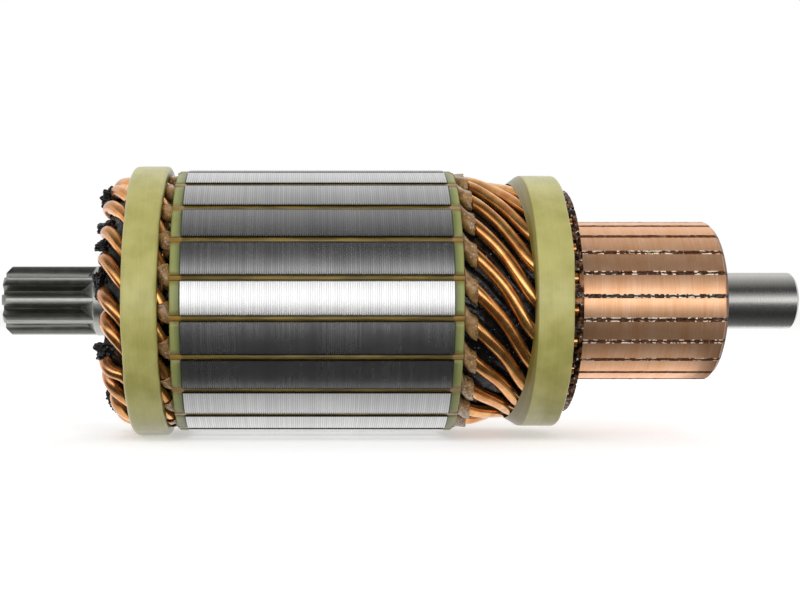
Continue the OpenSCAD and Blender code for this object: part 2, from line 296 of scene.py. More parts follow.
class Tree:
    """The node tree of a material or a world, with short ways to add what it needs."""

    def __init__(self, owner: bpy.types.Material | bpy.types.World) -> None:
        """Empties the owner's tree.

        Args:
            owner: The material or world that the tree belongs to.
        """
        self.owner = owner
        owner.use_nodes = True
        self.tree = owner.node_tree
        self.tree.nodes.clear()

    def add(self, kind: str, settings: dict | None = None,
            inputs: dict | None = None) -> bpy.types.Node:
        """Adds a node.

        Args:
            kind: The node's type.
            settings: Its properties, set first; a colour ramp takes "stops".
            inputs: Values or links of its sockets, by name or number.

        Returns:
            The node itself.
        """
        node = self.tree.nodes.new(kind)
        for name, value in (settings or {}).items():
            if name == "stops":
                self._set_stops(node, value)
            else:
                setattr(node, name, value)
        for name, value in (inputs or {}).items():
            self.feed(node.inputs[name], value)
        return node

    def node(self, kind: str, settings: dict | None = None, inputs: dict | None = None,
             output: int | str = 0) -> Signal:
        """Adds a node and returns one of its outputs as a signal."""
        return Signal(self, self.add(kind, settings, inputs).outputs[output])

    @staticmethod
    def _set_stops(node: bpy.types.Node, stops: Sequence[tuple[float, Colour]]) -> None:
        """Writes a colour ramp's stops.

        Args:
            node: The ramp.
            stops: Pairs of place and colour.
        """
        elements = node.color_ramp.elements
        while len(elements) < len(stops):
            elements.new(0.5)
        for element, (place, colour) in zip(elements, stops):
            element.position = place
            element.color = (*colour, 1.0)

    def feed(self, socket: bpy.types.NodeSocket,
             value: "Signal | float | Sequence[float]") -> None:
        """Links a signal to a socket, or sets the socket's own value.

        Args:
            socket: The input socket.
            value: A signal, a number, or a colour or vector.
        """
        if isinstance(value, Signal):
            self.tree.links.new(value.socket, socket)
        elif isinstance(value, (int, float)) or len(value) == len(socket.default_value):
            socket.default_value = value
        else:
            socket.default_value = (*value, 1.0)

    def blend(self, factor: "Signal | float", low: "Signal | Colour",
              high: "Signal | Colour") -> Signal:
        """Mixes two colours.

        Args:
            factor: 0 gives low and 1 gives high.
            low: The colour that is blended over.
            high: The colour that comes in with the factor.

        Returns:
            The mixed colour.
        """
        node = self.add("ShaderNodeMix", {"data_type": "RGBA", "blend_type": "MIX"})
        colours = [s for s in node.inputs if s.type == "RGBA"]
        self.feed(node.inputs[0], factor)
        self.feed(colours[0], low)
        self.feed(colours[1], high)
        return Signal(self, next(s for s in node.outputs if s.type == "RGBA"))

    def ramp(self, factor: Signal, stops: Sequence[tuple[float, Colour]]) -> Signal:
        """Looks a colour up on a ramp."""
        return self.node("ShaderNodeValToRGB", {"stops": stops}, {"Fac": factor})

    def noise(self, space: "Space", scale: float, detail: float = 2.0,
              stretch: Point = (1.0, 1.0, 1.0), rough: float = 0.5) -> Signal:
        """Soft noise on the part.

        Args:
            space: The coordinates, in millimetres.
            scale: Waves in a millimetre.
            detail: How many finer layers are added.
            stretch: What each coordinate is multiplied by.
            rough: How strong the finer layers are.

        Returns:
            The noise, from 0 to 1.
        """
        scaled = self.node("ShaderNodeVectorMath", {"operation": "MULTIPLY"},
                           {0: space.vector, 1: stretch})
        return self.node("ShaderNodeTexNoise", None,
                         {"Vector": scaled, "Scale": scale, "Detail": detail,
                          "Roughness": rough})

    def chance(self, place: Signal) -> Signal:
        """A random level from 0 to 1 for each whole step of a place."""
        return self.node("ShaderNodeTexWhiteNoise", {"noise_dimensions": "1D"},
                         {"W": place.math("FLOOR")})

    def bump(self, height: Signal, distance: float, strength: float) -> Signal:
        """A surface normal from a height, with its distance in millimetres."""
        return self.node("ShaderNodeBump", None, {"Height": height, "Distance": distance * MM,
                                                  "Strength": strength})

    def glow(self, colour: "Signal | Colour", strength: "Signal | float") -> Signal:
        """Light that a surface gives off by itself."""
        return self.node("ShaderNodeEmission", None, {"Color": colour, "Strength": strength})

    def rays(self, *kinds: str) -> Signal:
        """Tells rays apart.

        Args:
            kinds: Kinds of ray, such as "Camera" or "Glossy".

        Returns:
            1 for a ray of one of those kinds, else 0.
        """
        path = self.add("ShaderNodeLightPath")
        first, *rest = (Signal(self, path.outputs[f"Is {kind} Ray"]) for kind in kinds)
        for other in rest:
            first = first.math("MAXIMUM", other)
        return first

    def output(self, shader: Signal, kind: str = "Material") -> None:
        """Ends the tree in a shader."""
        self.add(f"ShaderNodeOutput{kind}", None, {"Surface": shader})

    def finish(self, **sockets: "Signal | float | Sequence[float]") -> bpy.types.Material:
        """Ends the tree in a Principled shader.

        Args:
            sockets: Its inputs, with underscores for spaces.

        Returns:
            The material.
        """
        inputs = {name.replace("_", " "): value for name, value in sockets.items()}
        self.output(self.node("ShaderNodeBsdfPrincipled", None, inputs))
        return self.owner


class Space:
    """The part's own coordinates in a shader, in millimetres and degrees."""

    def __init__(self, tree: Tree, layout: Layout) -> None:
        """Adds the coordinates that the paints share.

        Args:
            tree: The material's tree.
            layout: The armature's stations and radii.
        """
        coordinates = tree.node("ShaderNodeTexCoord", None, None, "Object")
        self.vector = tree.node("ShaderNodeVectorMath", {"operation": "SCALE"},
                                {0: coordinates, "Scale": 1 / MM})
        split = tree.add("ShaderNodeSeparateXYZ", None, {0: self.vector})
        x, y, z = (Signal(tree, split.outputs[k]) for k in range(3))
        self.station = x - layout.core_centre
        self.height = z
        self.radius = (y * y + z * z).math("SQRT")
        self.angle = z.math("ARCTAN2", y) * math.degrees(1)
        self.tree = tree
        self.layout = layout

    def across(self, phase: float, radius: float) -> Signal:
        """Arc length in millimetres from the nearest of the 22 repeats.

        Args:
            phase: The first repeat's angle.
            radius: The radius that the arc is measured at.

        Returns:
            The signed arc length.
        """
        return (self.angle - phase).wrapped(PITCH) * (math.radians(1) * radius)


class Finish:
    """A finish that is made once and shared by the pieces that have it."""

    slot: str = ""

    def material(self, layout: Layout) -> bpy.types.Material:
        """Makes the finish's material, or finds the one made before.

        Args:
            layout: The armature's stations and radii.

        Returns:
            The material.
        """
        name = type(self).__name__
        made = bpy.data.materials.get(name)
        return made or self.paint(Space(Tree(bpy.data.materials.new(name)), layout))

    def paint(self, space: Space) -> bpy.types.Material:
        """Builds the material in its empty tree."""
        raise NotImplementedError


@dataclass(frozen=True)
class CoreSteel(Finish):
    """Turned edges of thin steel sheets, darker along the slot mouths in a comb that follows the
    sheet joints.
    """

    slot: str = "core_steel"
    base: Colour = (0.62, 0.62, 0.615)
    dark: Colour = (0.40, 0.40, 0.40)
    mouth_dark_comb: Colour = (0.03, 0.028, 0.022)
    slot_wall: Colour = (0.16, 0.14, 0.08)
    sheet: float = 0.5

    def paint(self, space: Space) -> bpy.types.Material:
        """Builds the material in its empty tree.

        Args:
            space: The part's coordinates in that tree.

        Returns:
            The material.
        """
        tree, layout = space.tree, space.layout
        own = tree.chance(space.station / self.sheet)
        pair = tree.chance(space.station / (self.sheet * 2) + 0.3)
        fine = tree.noise(space, 1.0, 3.0, (7.0, 0.12, 0.12), 0.7)
        cloud = tree.noise(space, 0.10, 3.0)
        joint = abs(space.station.wrapped(self.sheet)).rise(0.12, 0.02)
        tone = own * 0.15 + pair * 0.06 + fine * 0.12 + cloud * 0.35 - joint * 0.36 + 0.20
        colour = tree.blend(tone.rise(0.15, 0.75), self.dark, self.base)
        mouth = space.across(SLOT_PHASE, layout.core_r)
        reach = joint * 0.55 + own * 0.12
        # darker along the slot mouths, toothed at the sheet joints and wider on the side of
        # smaller angles
        mouth_dark_comb = (abs(mouth) - reach * (mouth * -0.3 + 0.6)).rise(0.90, 0.74)
        outer = space.radius.rise(layout.core_r - 0.2, layout.core_r - 0.05)
        colour = tree.blend(mouth_dark_comb * 0.88, colour, self.mouth_dark_comb)
        face = tree.blend(outer, self.slot_wall, colour)
        height = own * 0.05 + fine * 0.06 - joint * 0.9
        return tree.finish(
            Base_Color=face, Metallic=0.95, Roughness=own * 0.03 + cloud * 0.1 + 0.195,
            Normal=tree.bump(height, 0.010, 0.5))


@dataclass(frozen=True)
class DarkSteel(Finish):
    """Oiled, heat-darkened pinion steel, painted lighter on the crests for scuffing and for a
    painted highlight.
    """

    slot: str = "shaft_steel"
    dark: Colour = (0.19, 0.19, 0.175)
    worn_and_highlit: Colour = (0.48, 0.48, 0.46)
    journal: Colour = (0.50, 0.50, 0.48)
    journal_dull: Colour = (0.38, 0.36, 0.34)
    tip_r: float = 8.6

    def paint(self, space: Space) -> bpy.types.Material:
        """Builds the material in its empty tree.

        Args:
            space: The part's coordinates in that tree.

        Returns:
            The material.
        """
        tree, layout = space.tree, space.layout
        cloud = tree.noise(space, 0.5, 4.0)
        streak = tree.noise(space, 1.0, 3.0, (0.35, 3.0, 3.0))
        # crests painted lighter: partly scuffed steel, partly a painted highlight along each crest
        crest = space.radius.rise(self.tip_r - 0.35, self.tip_r - 0.02)
        wear_and_highlight = (crest * (streak * 0.6 + 0.3) + cloud * 0.35 - 0.12).clamped()
        toothed = tree.blend(wear_and_highlight, self.dark, self.worn_and_highlit)
        turned = tree.noise(space, 1.0, 3.0, (7.0, 0.3, 0.3), 0.65)
        ground = tree.blend(turned * 0.5, self.journal, self.journal_dull)
        ground_part = space.station.rise(layout.track_end - 1, layout.track_end - 0.5)
        colour = tree.blend(ground_part, toothed, ground)
        rough = (cloud * 0.25 + 0.24) * (1 - ground_part) + (turned * 0.18 + 0.2) * ground_part
        height = cloud * (1 - ground_part) + turned * ground_part * 0.5
        return tree.finish(Base_Color=colour, Metallic=1.0, Roughness=rough,
                           Normal=tree.bump(height, 0.03, 0.5))


@dataclass(frozen=True)
class EndBoard(Finish):
    """Green-yellow pressed insulation board, with painted shade towards the core."""

    slot: str = "end_disc"
    brown: Colour = (0.20, 0.125, 0.03)
    # inner and outer: painted shade where the board meets the core, painted light at its outer
    # face
    inner: Colour = (0.105, 0.125, 0.042)
    outer: Colour = (0.245, 0.265, 0.075)
    layered: Colour = (0.30, 0.33, 0.11)

    def paint(self, space: Space) -> bpy.types.Material:
        """Builds the material in its empty tree.

        Args:
            space: The part's coordinates in that tree.

        Returns:
            The material.
        """
        tree, layout = space.tree, space.layout
        cloud = tree.noise(space, 0.35, 4.0)
        layers = tree.noise(space, 1.0, 2.0, (3.5, 0.1, 0.1))
        mouth = abs(space.across(SLOT_PHASE, layout.core_r))
        edge = space.radius.rise(layout.core_r - 3, layout.core_r - 1.5)
        stain = (mouth.rise(1.9, 0.7) * edge * 0.7 + cloud.rise(0.5, 0.8) * 0.4).clamped()
        out = abs(space.station)
        # painted shade: darker towards the core, lighter at the outer face
        shade = tree.blend(out.rise(31.1, 32.9), self.inner, self.outer)
        colour = tree.blend(stain, shade, self.brown)
        colour = tree.blend(layers.rise(0.3, 0.7) * 0.2, colour, self.layered)
        return tree.finish(Base_Color=colour, Roughness=cloud * 0.2 + 0.35, Coat_Weight=0.2,
                           Coat_Roughness=0.25,
                           Normal=tree.bump(layers * 0.6 + cloud * 0.4, 0.08, 0.5))


@dataclass(frozen=True)
class SlotPaper(Finish):
    """Varnished slot paper: olive along the slots, golden and soaked outside them."""

    slot: str = "slot_paper"
    lap: Colour = (0.215, 0.15, 0.03)
    lap_dark: Colour = (0.115, 0.078, 0.016)
    base: Colour = (0.33, 0.18, 0.06)
    dark: Colour = (0.17, 0.09, 0.03)
    pale: Colour = (0.72, 0.56, 0.36)
    amber: Colour = (0.38, 0.21, 0.04)

    def paint(self, space: Space) -> bpy.types.Material:
        """Builds the material in its empty tree.

        Args:
            space: The part's coordinates in that tree.

        Returns:
            The material.
        """
        tree, layout = space.tree, space.layout
        cloud = tree.noise(space, 0.55, 3.0)
        fleck = tree.noise(space, 2.6, 3.0)
        slow = tree.noise(space, 1.0, 2.0, (0.12, 1.0, 1.0))
        lap = tree.blend(slow.rise(0.35, 0.65), self.lap_dark, self.lap)
        cuff = tree.blend(cloud.rise(0.35, 0.65), self.dark, self.base)
        low = space.height.rise(-8, -26) * 0.08
        cuff = tree.blend((fleck + low).rise(0.58, 0.72) * 0.8, cuff, self.pale)
        outside = (space.station.rise(layout.disc_commutator - 0.5, layout.disc_commutator + 0.5)
                   + space.station.rise(layout.disc_drive + 0.5, layout.disc_drive - 0.5))
        board = abs(space.station).rise(layout.disc_commutator - 2.8, layout.disc_commutator - 2.2)
        lap = tree.blend(board * 0.7, lap, self.amber)
        colour = tree.blend(outside, lap, cuff)
        return tree.finish(Base_Color=colour, Roughness=cloud * 0.3 + 0.18, Coat_Weight=0.6,
                           Coat_Roughness=0.15, Normal=tree.bump(fleck, 0.06, 0.5))


@dataclass(frozen=True)
class EnamelledCopper(Finish):
    """Copper wire under clear amber enamel."""

    slot: str = "enamelled_copper"
    base: Colour = (0.86, 0.44, 0.13)
    deep: Colour = (0.62, 0.23, 0.05)
    rubbed: Colour = (0.50, 0.245, 0.135)

    def paint(self, space: Space) -> bpy.types.Material:
        """Builds the material in its empty tree.

        Args:
            space: The part's coordinates in that tree.

        Returns:
            The material.
        """
        tree, layout = space.tree, space.layout
        cloud = tree.noise(space, 0.35, 3.0)
        scuff = tree.noise(space, 2.2, 4.0)
        colour = tree.blend(cloud.rise(0.3, 0.7), self.deep, self.base)
        nose = space.station.rise(layout.disc_drive - 11.5, layout.disc_drive - 16.5)
        rubbed = (nose * 0.75 + scuff.rise(0.58, 0.75) * 0.25).clamped()
        colour = tree.blend(rubbed, colour, self.rubbed)
        rough = scuff * 0.10 + 0.15 + rubbed * 0.15
        return tree.finish(Base_Color=colour, Metallic=0.9, Roughness=rough,
                           Coat_Weight=0.7, Coat_Roughness=0.10,
                           Normal=tree.bump(scuff * 0.12 + cloud, 0.05, 0.3))


@dataclass(frozen=True)
class GlassTape(Finish):
    """Resin-soaked glass tape, yellow-green, wound round and cured, with resin and painted shade
    along its inner rims.
    """

    slot: str = "glass_band"
    base: Colour = (0.455, 0.42, 0.135)
    deep: Colour = (0.33, 0.31, 0.075)
    thread: Colour = (0.62, 0.58, 0.30)
    # olive: resin at the bands' inner rims, with painted shade there
    olive: Colour = (0.15, 0.11, 0.012)
    fleck: Colour = (0.42, 0.33, 0.12)

    def paint(self, space: Space) -> bpy.types.Material:
        """Builds the material in its empty tree.

        Args:
            space: The part's coordinates in that tree.

        Returns:
            The material.
        """
        tree, layout = space.tree, space.layout
        threads = tree.noise(space, 1.0, 2.0, (3.0, 0.12, 0.12))
        cloud = tree.noise(space, 0.16, 3.0)
        speck = tree.noise(space, 1.6, 2.0)
        colour = tree.blend(cloud.rise(0.25, 0.75), self.deep, self.base)
        colour = tree.blend(threads.rise(0.4, 0.75) * 0.12, colour, self.thread)
        drive_r, commutator_r = (band.inner_r for band in GLASS_BANDS)
        inner = space.station.rise(0, 1) * (commutator_r - drive_r) + drive_r
        # resin and painted shade: dark olive along each band's inner rim and along the commutator
        # band's edge towards -X
        rim = (space.radius - inner).rise(1.6, 0.9) * 0.9
        near = space.station.rise(layout.band_start - 3, layout.band_start - 2.5)
        line = space.station.rise(layout.band_start + 0.75, layout.band_start + 0.35) * near
        rim = rim.math("MAXIMUM", line * 0.8)
        colour = tree.blend(rim, colour, self.olive)
        colour = tree.blend(speck.rise(0.66, 0.8) * 0.3, colour, self.fleck)
        return tree.finish(Base_Color=colour, Roughness=cloud * 0.15 + 0.32, Coat_Weight=0.35,
                           Coat_Roughness=0.22,
                           Normal=tree.bump(threads * 0.3 + cloud, 0.1, 0.4))


@dataclass(frozen=True)
class BlackVarnish(Finish):
    """Black insulation, glossy where it is varnished and dull where it flakes, with painted glints
    at the commutator end.
    """

    slot: str = "black_insulation"
    black: Colour = (0.005, 0.005, 0.005)
    flaked: Colour = (0.15, 0.13, 0.03)
    painted_glint_colour: Colour = (0.62, 0.68, 0.75)

    def paint(self, space: Space) -> bpy.types.Material:
        """Builds the material in its empty tree.

        Args:
            space: The part's coordinates in that tree.

        Returns:
            The material.
        """
        tree, layout = space.tree, space.layout
        crumb = tree.noise(space, 1.3, 5.0, rough=0.65)
        flake = tree.noise(space, 0.7, 3.0)
        colour = tree.blend(crumb.rise(0.66, 0.80) * 0.7, self.black, self.flaked)
        # painted glints: pale blue-white specks past the commutator's end board
        painted_glint = (tree.noise(space, 1.9, 2.0).rise(0.70, 0.76)
                 * space.station.rise(layout.disc_commutator, layout.disc_commutator + 1))
        colour = tree.blend(painted_glint * 0.8, colour, self.painted_glint_colour)
        rough = flake.rise(0.35, 0.7) * 0.3 + 0.12
        return tree.finish(Base_Color=colour, Roughness=rough, Specular_IOR_Level=0.35,
                           Normal=tree.bump(crumb * 0.15 + flake, 0.35, 0.55))


@dataclass(frozen=True)
class TurnedCopper(Finish):
    """Commutator copper with fine turning marks and darker brush tracks, painted glints on the
    risers' crust and painted shade at the bars' end.
    """

    slot: str = "commutator_copper"
    base: Colour = (0.91, 0.57, 0.37)
    dull: Colour = (0.76, 0.37, 0.165)
    soot: Colour = (0.018, 0.008, 0.005)
    burnt: Colour = (0.38, 0.18, 0.08)
    painted_crust_glints: Colour = (0.62, 0.50, 0.38)
    riser_face: Colour = (0.12, 0.055, 0.027)
    painted_end_shade: Colour = (0.10, 0.035, 0.02)

    def paint(self, space: Space) -> bpy.types.Material:
        """Builds the material in its empty tree.

        Args:
            space: The part's coordinates in that tree.

        Returns:
            The material.
        """
        tree, layout = space.tree, space.layout
        marks = tree.noise(space, 1.0, 3.0, (5.0, 0.12, 0.12), 0.6)
        broad = tree.noise(space, 1.0, 2.0, (0.35, 0.05, 0.05))
        cloud = tree.noise(space, 0.22, 3.0)
        tone = (marks * 0.5 + broad * 0.35 + cloud * 0.3).rise(0.35, 0.8)
        colour = tree.blend(tone, self.dull, self.base)
        riser = space.radius.rise(layout.track_r + 0.2, layout.track_r + 1.2)
        crust = tree.noise(space, 0.75, 4.0, rough=0.6)
        burnt = tree.blend(crust.rise(0.42, 0.66), self.soot, self.burnt)
        # painted glints: pale specks on the riser crust
        burnt = tree.blend(crust.rise(0.66, 0.76), burnt, self.painted_crust_glints)
        face = space.radius.rise(layout.riser_r - 0.8, layout.riser_r - 1.6) * 0.75
        burnt = tree.blend(face, burnt, self.riser_face)
        colour = tree.blend(riser, colour, burnt)
        # painted shade: the copper darkens towards the bars' chamfered end
        end = space.station.rise(layout.track_end - 1.3, layout.track_end - 0.5) * 0.9
        colour = tree.blend(end, colour, self.painted_end_shade)
        height = marks * (1 - riser) + crust * riser * 20
        rough = marks * 0.15 + 0.28 + riser * 0.1
        return tree.finish(Base_Color=colour, Metallic=0.85, Roughness=rough,
                           Normal=tree.bump(height, 0.012, 0.4))


@dataclass(frozen=True)
class DraggedCopper(Finish):
    """Slivers of copper dragged over the undercuts, with painted highlights in dashes, strongest
    level with the shaft's axis.
    """

    slot: str = "commutator_copper"
    dark: Colour = (0.13, 0.042, 0.018)
    painted_highlight: Colour = (1.0, 0.80, 0.62)

    def paint(self, space: Space) -> bpy.types.Material:
        """Builds the material in its empty tree.

        Args:
            space: The part's coordinates in that tree.

        Returns:
            The material.
        """
        tree = space.tree
        dash = tree.noise(space, 1.0, 2.0, (0.9, 0.4, 0.4))
        # painted highlights: light dashes, strongest within 12.5 mm of the shaft's level, where
        # the front lamp is mirrored
        front = abs(space.height).rise(15.5, 12.5)
        painted_highlight = (dash.rise(0.50, 0.56) * (front * 0.85 + 0.15)).clamped()
        colour = tree.blend(painted_highlight, self.dark, self.painted_highlight)
        return tree.finish(Base_Color=colour, Metallic=0.4, Roughness=dash * 0.2 + 0.12)


@dataclass(frozen=True)
class Mica(Finish):
    """Dull mica, dark with brush dust at the bottom of the undercut."""

    slot: str = "mica"
    dusty: Colour = (0.025, 0.018, 0.014)
    clean: Colour = (0.20, 0.15, 0.11)

    def paint(self, space: Space) -> bpy.types.Material:
        """Builds the material in its empty tree.

        Args:
            space: The part's coordinates in that tree.

        Returns:
            The material.
        """
        tree = space.tree
        grain = tree.noise(space, 1.5, 3.0)
        colour = tree.blend(grain.rise(0.4, 0.7), self.dusty, self.clean)
        return tree.finish(Base_Color=colour, Roughness=grain * 0.2 + 0.55,
                           Normal=tree.bump(grain, 0.1, 0.5))


@dataclass(frozen=True)
class HubResin(Finish):
    """Dark brown moulding resin."""

    slot: str = "hub_resin"
    dark: Colour = (0.03, 0.018, 0.012)
    base: Colour = (0.085, 0.05, 0.035)

    def paint(self, space: Space) -> bpy.types.Material:
        """Builds the material in its empty tree.

        Args:
            space: The part's coordinates in that tree.

        Returns:
            The material.
        """
        tree = space.tree
        grain = tree.noise(space, 0.8, 4.0)
        colour = tree.blend(grain.rise(0.35, 0.7), self.dark, self.base)
        return tree.finish(Base_Color=colour, Roughness=grain * 0.25 + 0.4,
                           Normal=tree.bump(grain, 0.1, 0.4))


@dataclass(frozen=True)
class Solder(Finish):
    """Tin solder, silvery and a little crusted."""

    slot: str = "commutator_copper"
    crust: Colour = (0.20, 0.17, 0.13)
    tin: Colour = (0.75, 0.73, 0.68)

    def paint(self, space: Space) -> bpy.types.Material:
        """Builds the material in its empty tree.

        Args:
            space: The part's coordinates in that tree.

        Returns:
            The material.
        """
        tree = space.tree
        grain = tree.noise(space, 1.8, 3.0)
        colour = tree.blend(grain.rise(0.35, 0.65), self.crust, self.tin)
        return tree.finish(Base_Color=colour, Metallic=0.9, Roughness=grain * 0.3 + 0.15,
                           Normal=tree.bump(grain, 0.12, 0.6))


# ---- meshes ----

def settle(name: str, mesh: bpy.types.Mesh, finish: Finish, layout: Layout,
           crease: float = 40.0) -> bpy.types.Object:
    """Makes a piece of the armature from a mesh in the frame's own place.

    Args:
        name: The piece's name.
        mesh: Its mesh, in metres.
        finish: The finish it is dressed in.
        layout: The armature's layout.
        crease: Edges sharper than this many degrees stay sharp.

    Returns:
        The piece, riding on the body.
    """
    mesh.name = name
    mesh.shade_smooth()
    mesh.set_sharp_from_angle(angle=math.radians(crease))
    mesh.materials.clear()
    mesh.materials.append(finish.material(layout))
    piece = bpy.data.objects.new(name, mesh)
    bpy.context.scene.collection.objects.link(piece)
    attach(piece, BODY)
    log.info("%s: %d faces", name, len(mesh.polygons))
    return piece


def to_mesh(shape: bmesh.types.BMesh, name: str, turn_out: bool = True) -> bpy.types.Mesh:
    """Writes a bmesh to a new mesh.

    Args:
        shape: The bmesh, which is freed.
        name: The mesh's name.
        turn_out: Whether its normals are turned outwards first.

    Returns:
        The mesh.
    """
    if turn_out:
        bmesh.ops.recalc_face_normals(shape, faces=shape.faces)
    mesh = bpy.data.meshes.new(name)
    shape.to_mesh(mesh)
    shape.free()
    return mesh


def tube_mesh(lines: Iterable[tuple[Sequence[Vector], Sequence[float]]], sides: int,
              capped: bool = True) -> bpy.types.Mesh:
    """Sweeps a round section along lines.

    Args:
        lines: Each line's points and the radius at each point, in metres.
        sides: How many sides the section has, an even number from 4.
        capped: Whether the ends are closed.

    Returns:
        One mesh with all the tubes.
    """
    curve = bpy.data.curves.new("tube", "CURVE")
    curve.dimensions = "3D"
    curve.bevel_depth = 1.0
    curve.bevel_resolution = (sides - 4) // 2
    curve.use_fill_caps = capped
    for points, radii in lines:
        spline = curve.splines.new("POLY")
        spline.points.add(len(points) - 1)
        for spot, place, radius in zip(spline.points, points, radii):
            spot.co = (*place, 1.0)
            spot.radius = radius
    holder = bpy.data.objects.new("tube", curve)
    mesh = bpy.data.meshes.new_from_object(holder)
    bpy.data.objects.remove(holder)
    bpy.data.curves.remove(curve)
    return mesh


def turned(profile: Sequence[tuple[float, float]], layout: Layout,
           steps: int) -> bmesh.types.BMesh:
    """Turns a closed profile about the shaft's axis.

    Args:
        profile: Pairs of radius and station, in millimetres.
        layout: The armature's layout.
        steps: How many steps make the full turn.

    Returns:
        The turned shape.
    """
    shape = bmesh.new()
    spots = [shape.verts.new(layout.at(r, 0, s)) for r, s in profile]
    edges = [shape.edges.new(pair) for pair in zip(spots, spots[1:] + spots[:1])]
    bmesh.ops.spin(shape, geom=spots + edges, cent=(0, 0, 0), axis=(1, 0, 0),
                   angle=2 * math.pi, steps=steps, use_merge=True)
    bmesh.ops.remove_doubles(shape, verts=shape.verts, dist=SAME)
    return shape


def rounded_profile(inner_r: float, outer_r: float, start: float, end: float,
                    edge: float) -> list[tuple[float, float]]:
    """Section of a band with rounded outer corners.

    Args:
        inner_r: Inner radius.
        outer_r: Outer radius.
        start: First station.
        end: Last station.
        edge: Radius of the outer corners.

    Returns:
        The section as pairs of radius and station.
    """
    corner_r, length, cuts = outer_r - edge, end - start - 2 * edge, 8
    arc = [math.radians(15 * k) for k in range(7)]
    first = [(corner_r + edge * math.sin(t), start + edge - edge * math.cos(t)) for t in arc]
    flat = [(outer_r, start + edge + length * k / cuts) for k in range(1, cuts)]
    second = [(corner_r + edge * math.cos(t), end - edge + edge * math.sin(t)) for t in arc]
    return [(inner_r, start), *first, *flat, *second, (inner_r, end)]


def bevelled_copy(node: str, width: float, segments: int = 2,
                  wanted: Callable[[bmesh.types.BMEdge], bool] = lambda edge: True,
                  sharp: float = 28.0, flat: float = 1.5) -> bpy.types.Mesh:
    """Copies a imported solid's mesh, joins its loose triangles and rounds its edges.

    Args:
        node: The solid's name.
        width: Width of the rounding, in millimetres.
        segments: How many steps round each edge.
        wanted: Which edges are meant.
        sharp: Of those, the ones that turn by more than this many degrees are rounded.
        flat: Faces that meet at less than this many degrees are joined.

    Returns:
        The new mesh.
    """
    shape = bmesh.new()
    shape.from_mesh(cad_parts[node].data)
    bmesh.ops.remove_doubles(shape, verts=shape.verts, dist=WELD)
    bmesh.ops.dissolve_limit(shape, angle_limit=math.radians(flat), verts=shape.verts,
                             edges=shape.edges)
    edges = [e for e in shape.edges if e.is_manifold and wanted(e)
             and e.calc_face_angle(0) > math.radians(sharp)]
    bmesh.ops.bevel(shape, geom=edges, offset=width * MM, offset_type="OFFSET", affect="EDGES",
                    segments=segments, profile=0.5, material=-1, clamp_overlap=True)
    return to_mesh(shape, node, turn_out=False)


def give_wall(piece: bpy.types.Object, wall: float) -> None:
    """Gives an open surface its thickness, on both sides alike.

    Args:
        piece: The piece.
        wall: The thickness, in millimetres.
    """
    solid = piece.modifiers.new("wall", "SOLIDIFY")
    solid.thickness = wall * MM
    solid.offset = 0.0
    solid.use_even_offset = False


def dress_solid(node: str, finish: Finish, layout: Layout) -> None:
    """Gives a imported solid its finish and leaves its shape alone.

    Args:
        node: The solid's name.
        finish: Its finish.
        layout: The armature's layout.
    """
    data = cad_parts[node].data
    data.materials.clear()
    data.materials.append(finish.material(layout))
    log.info("%s: dressed", node)


# ---- winding ----

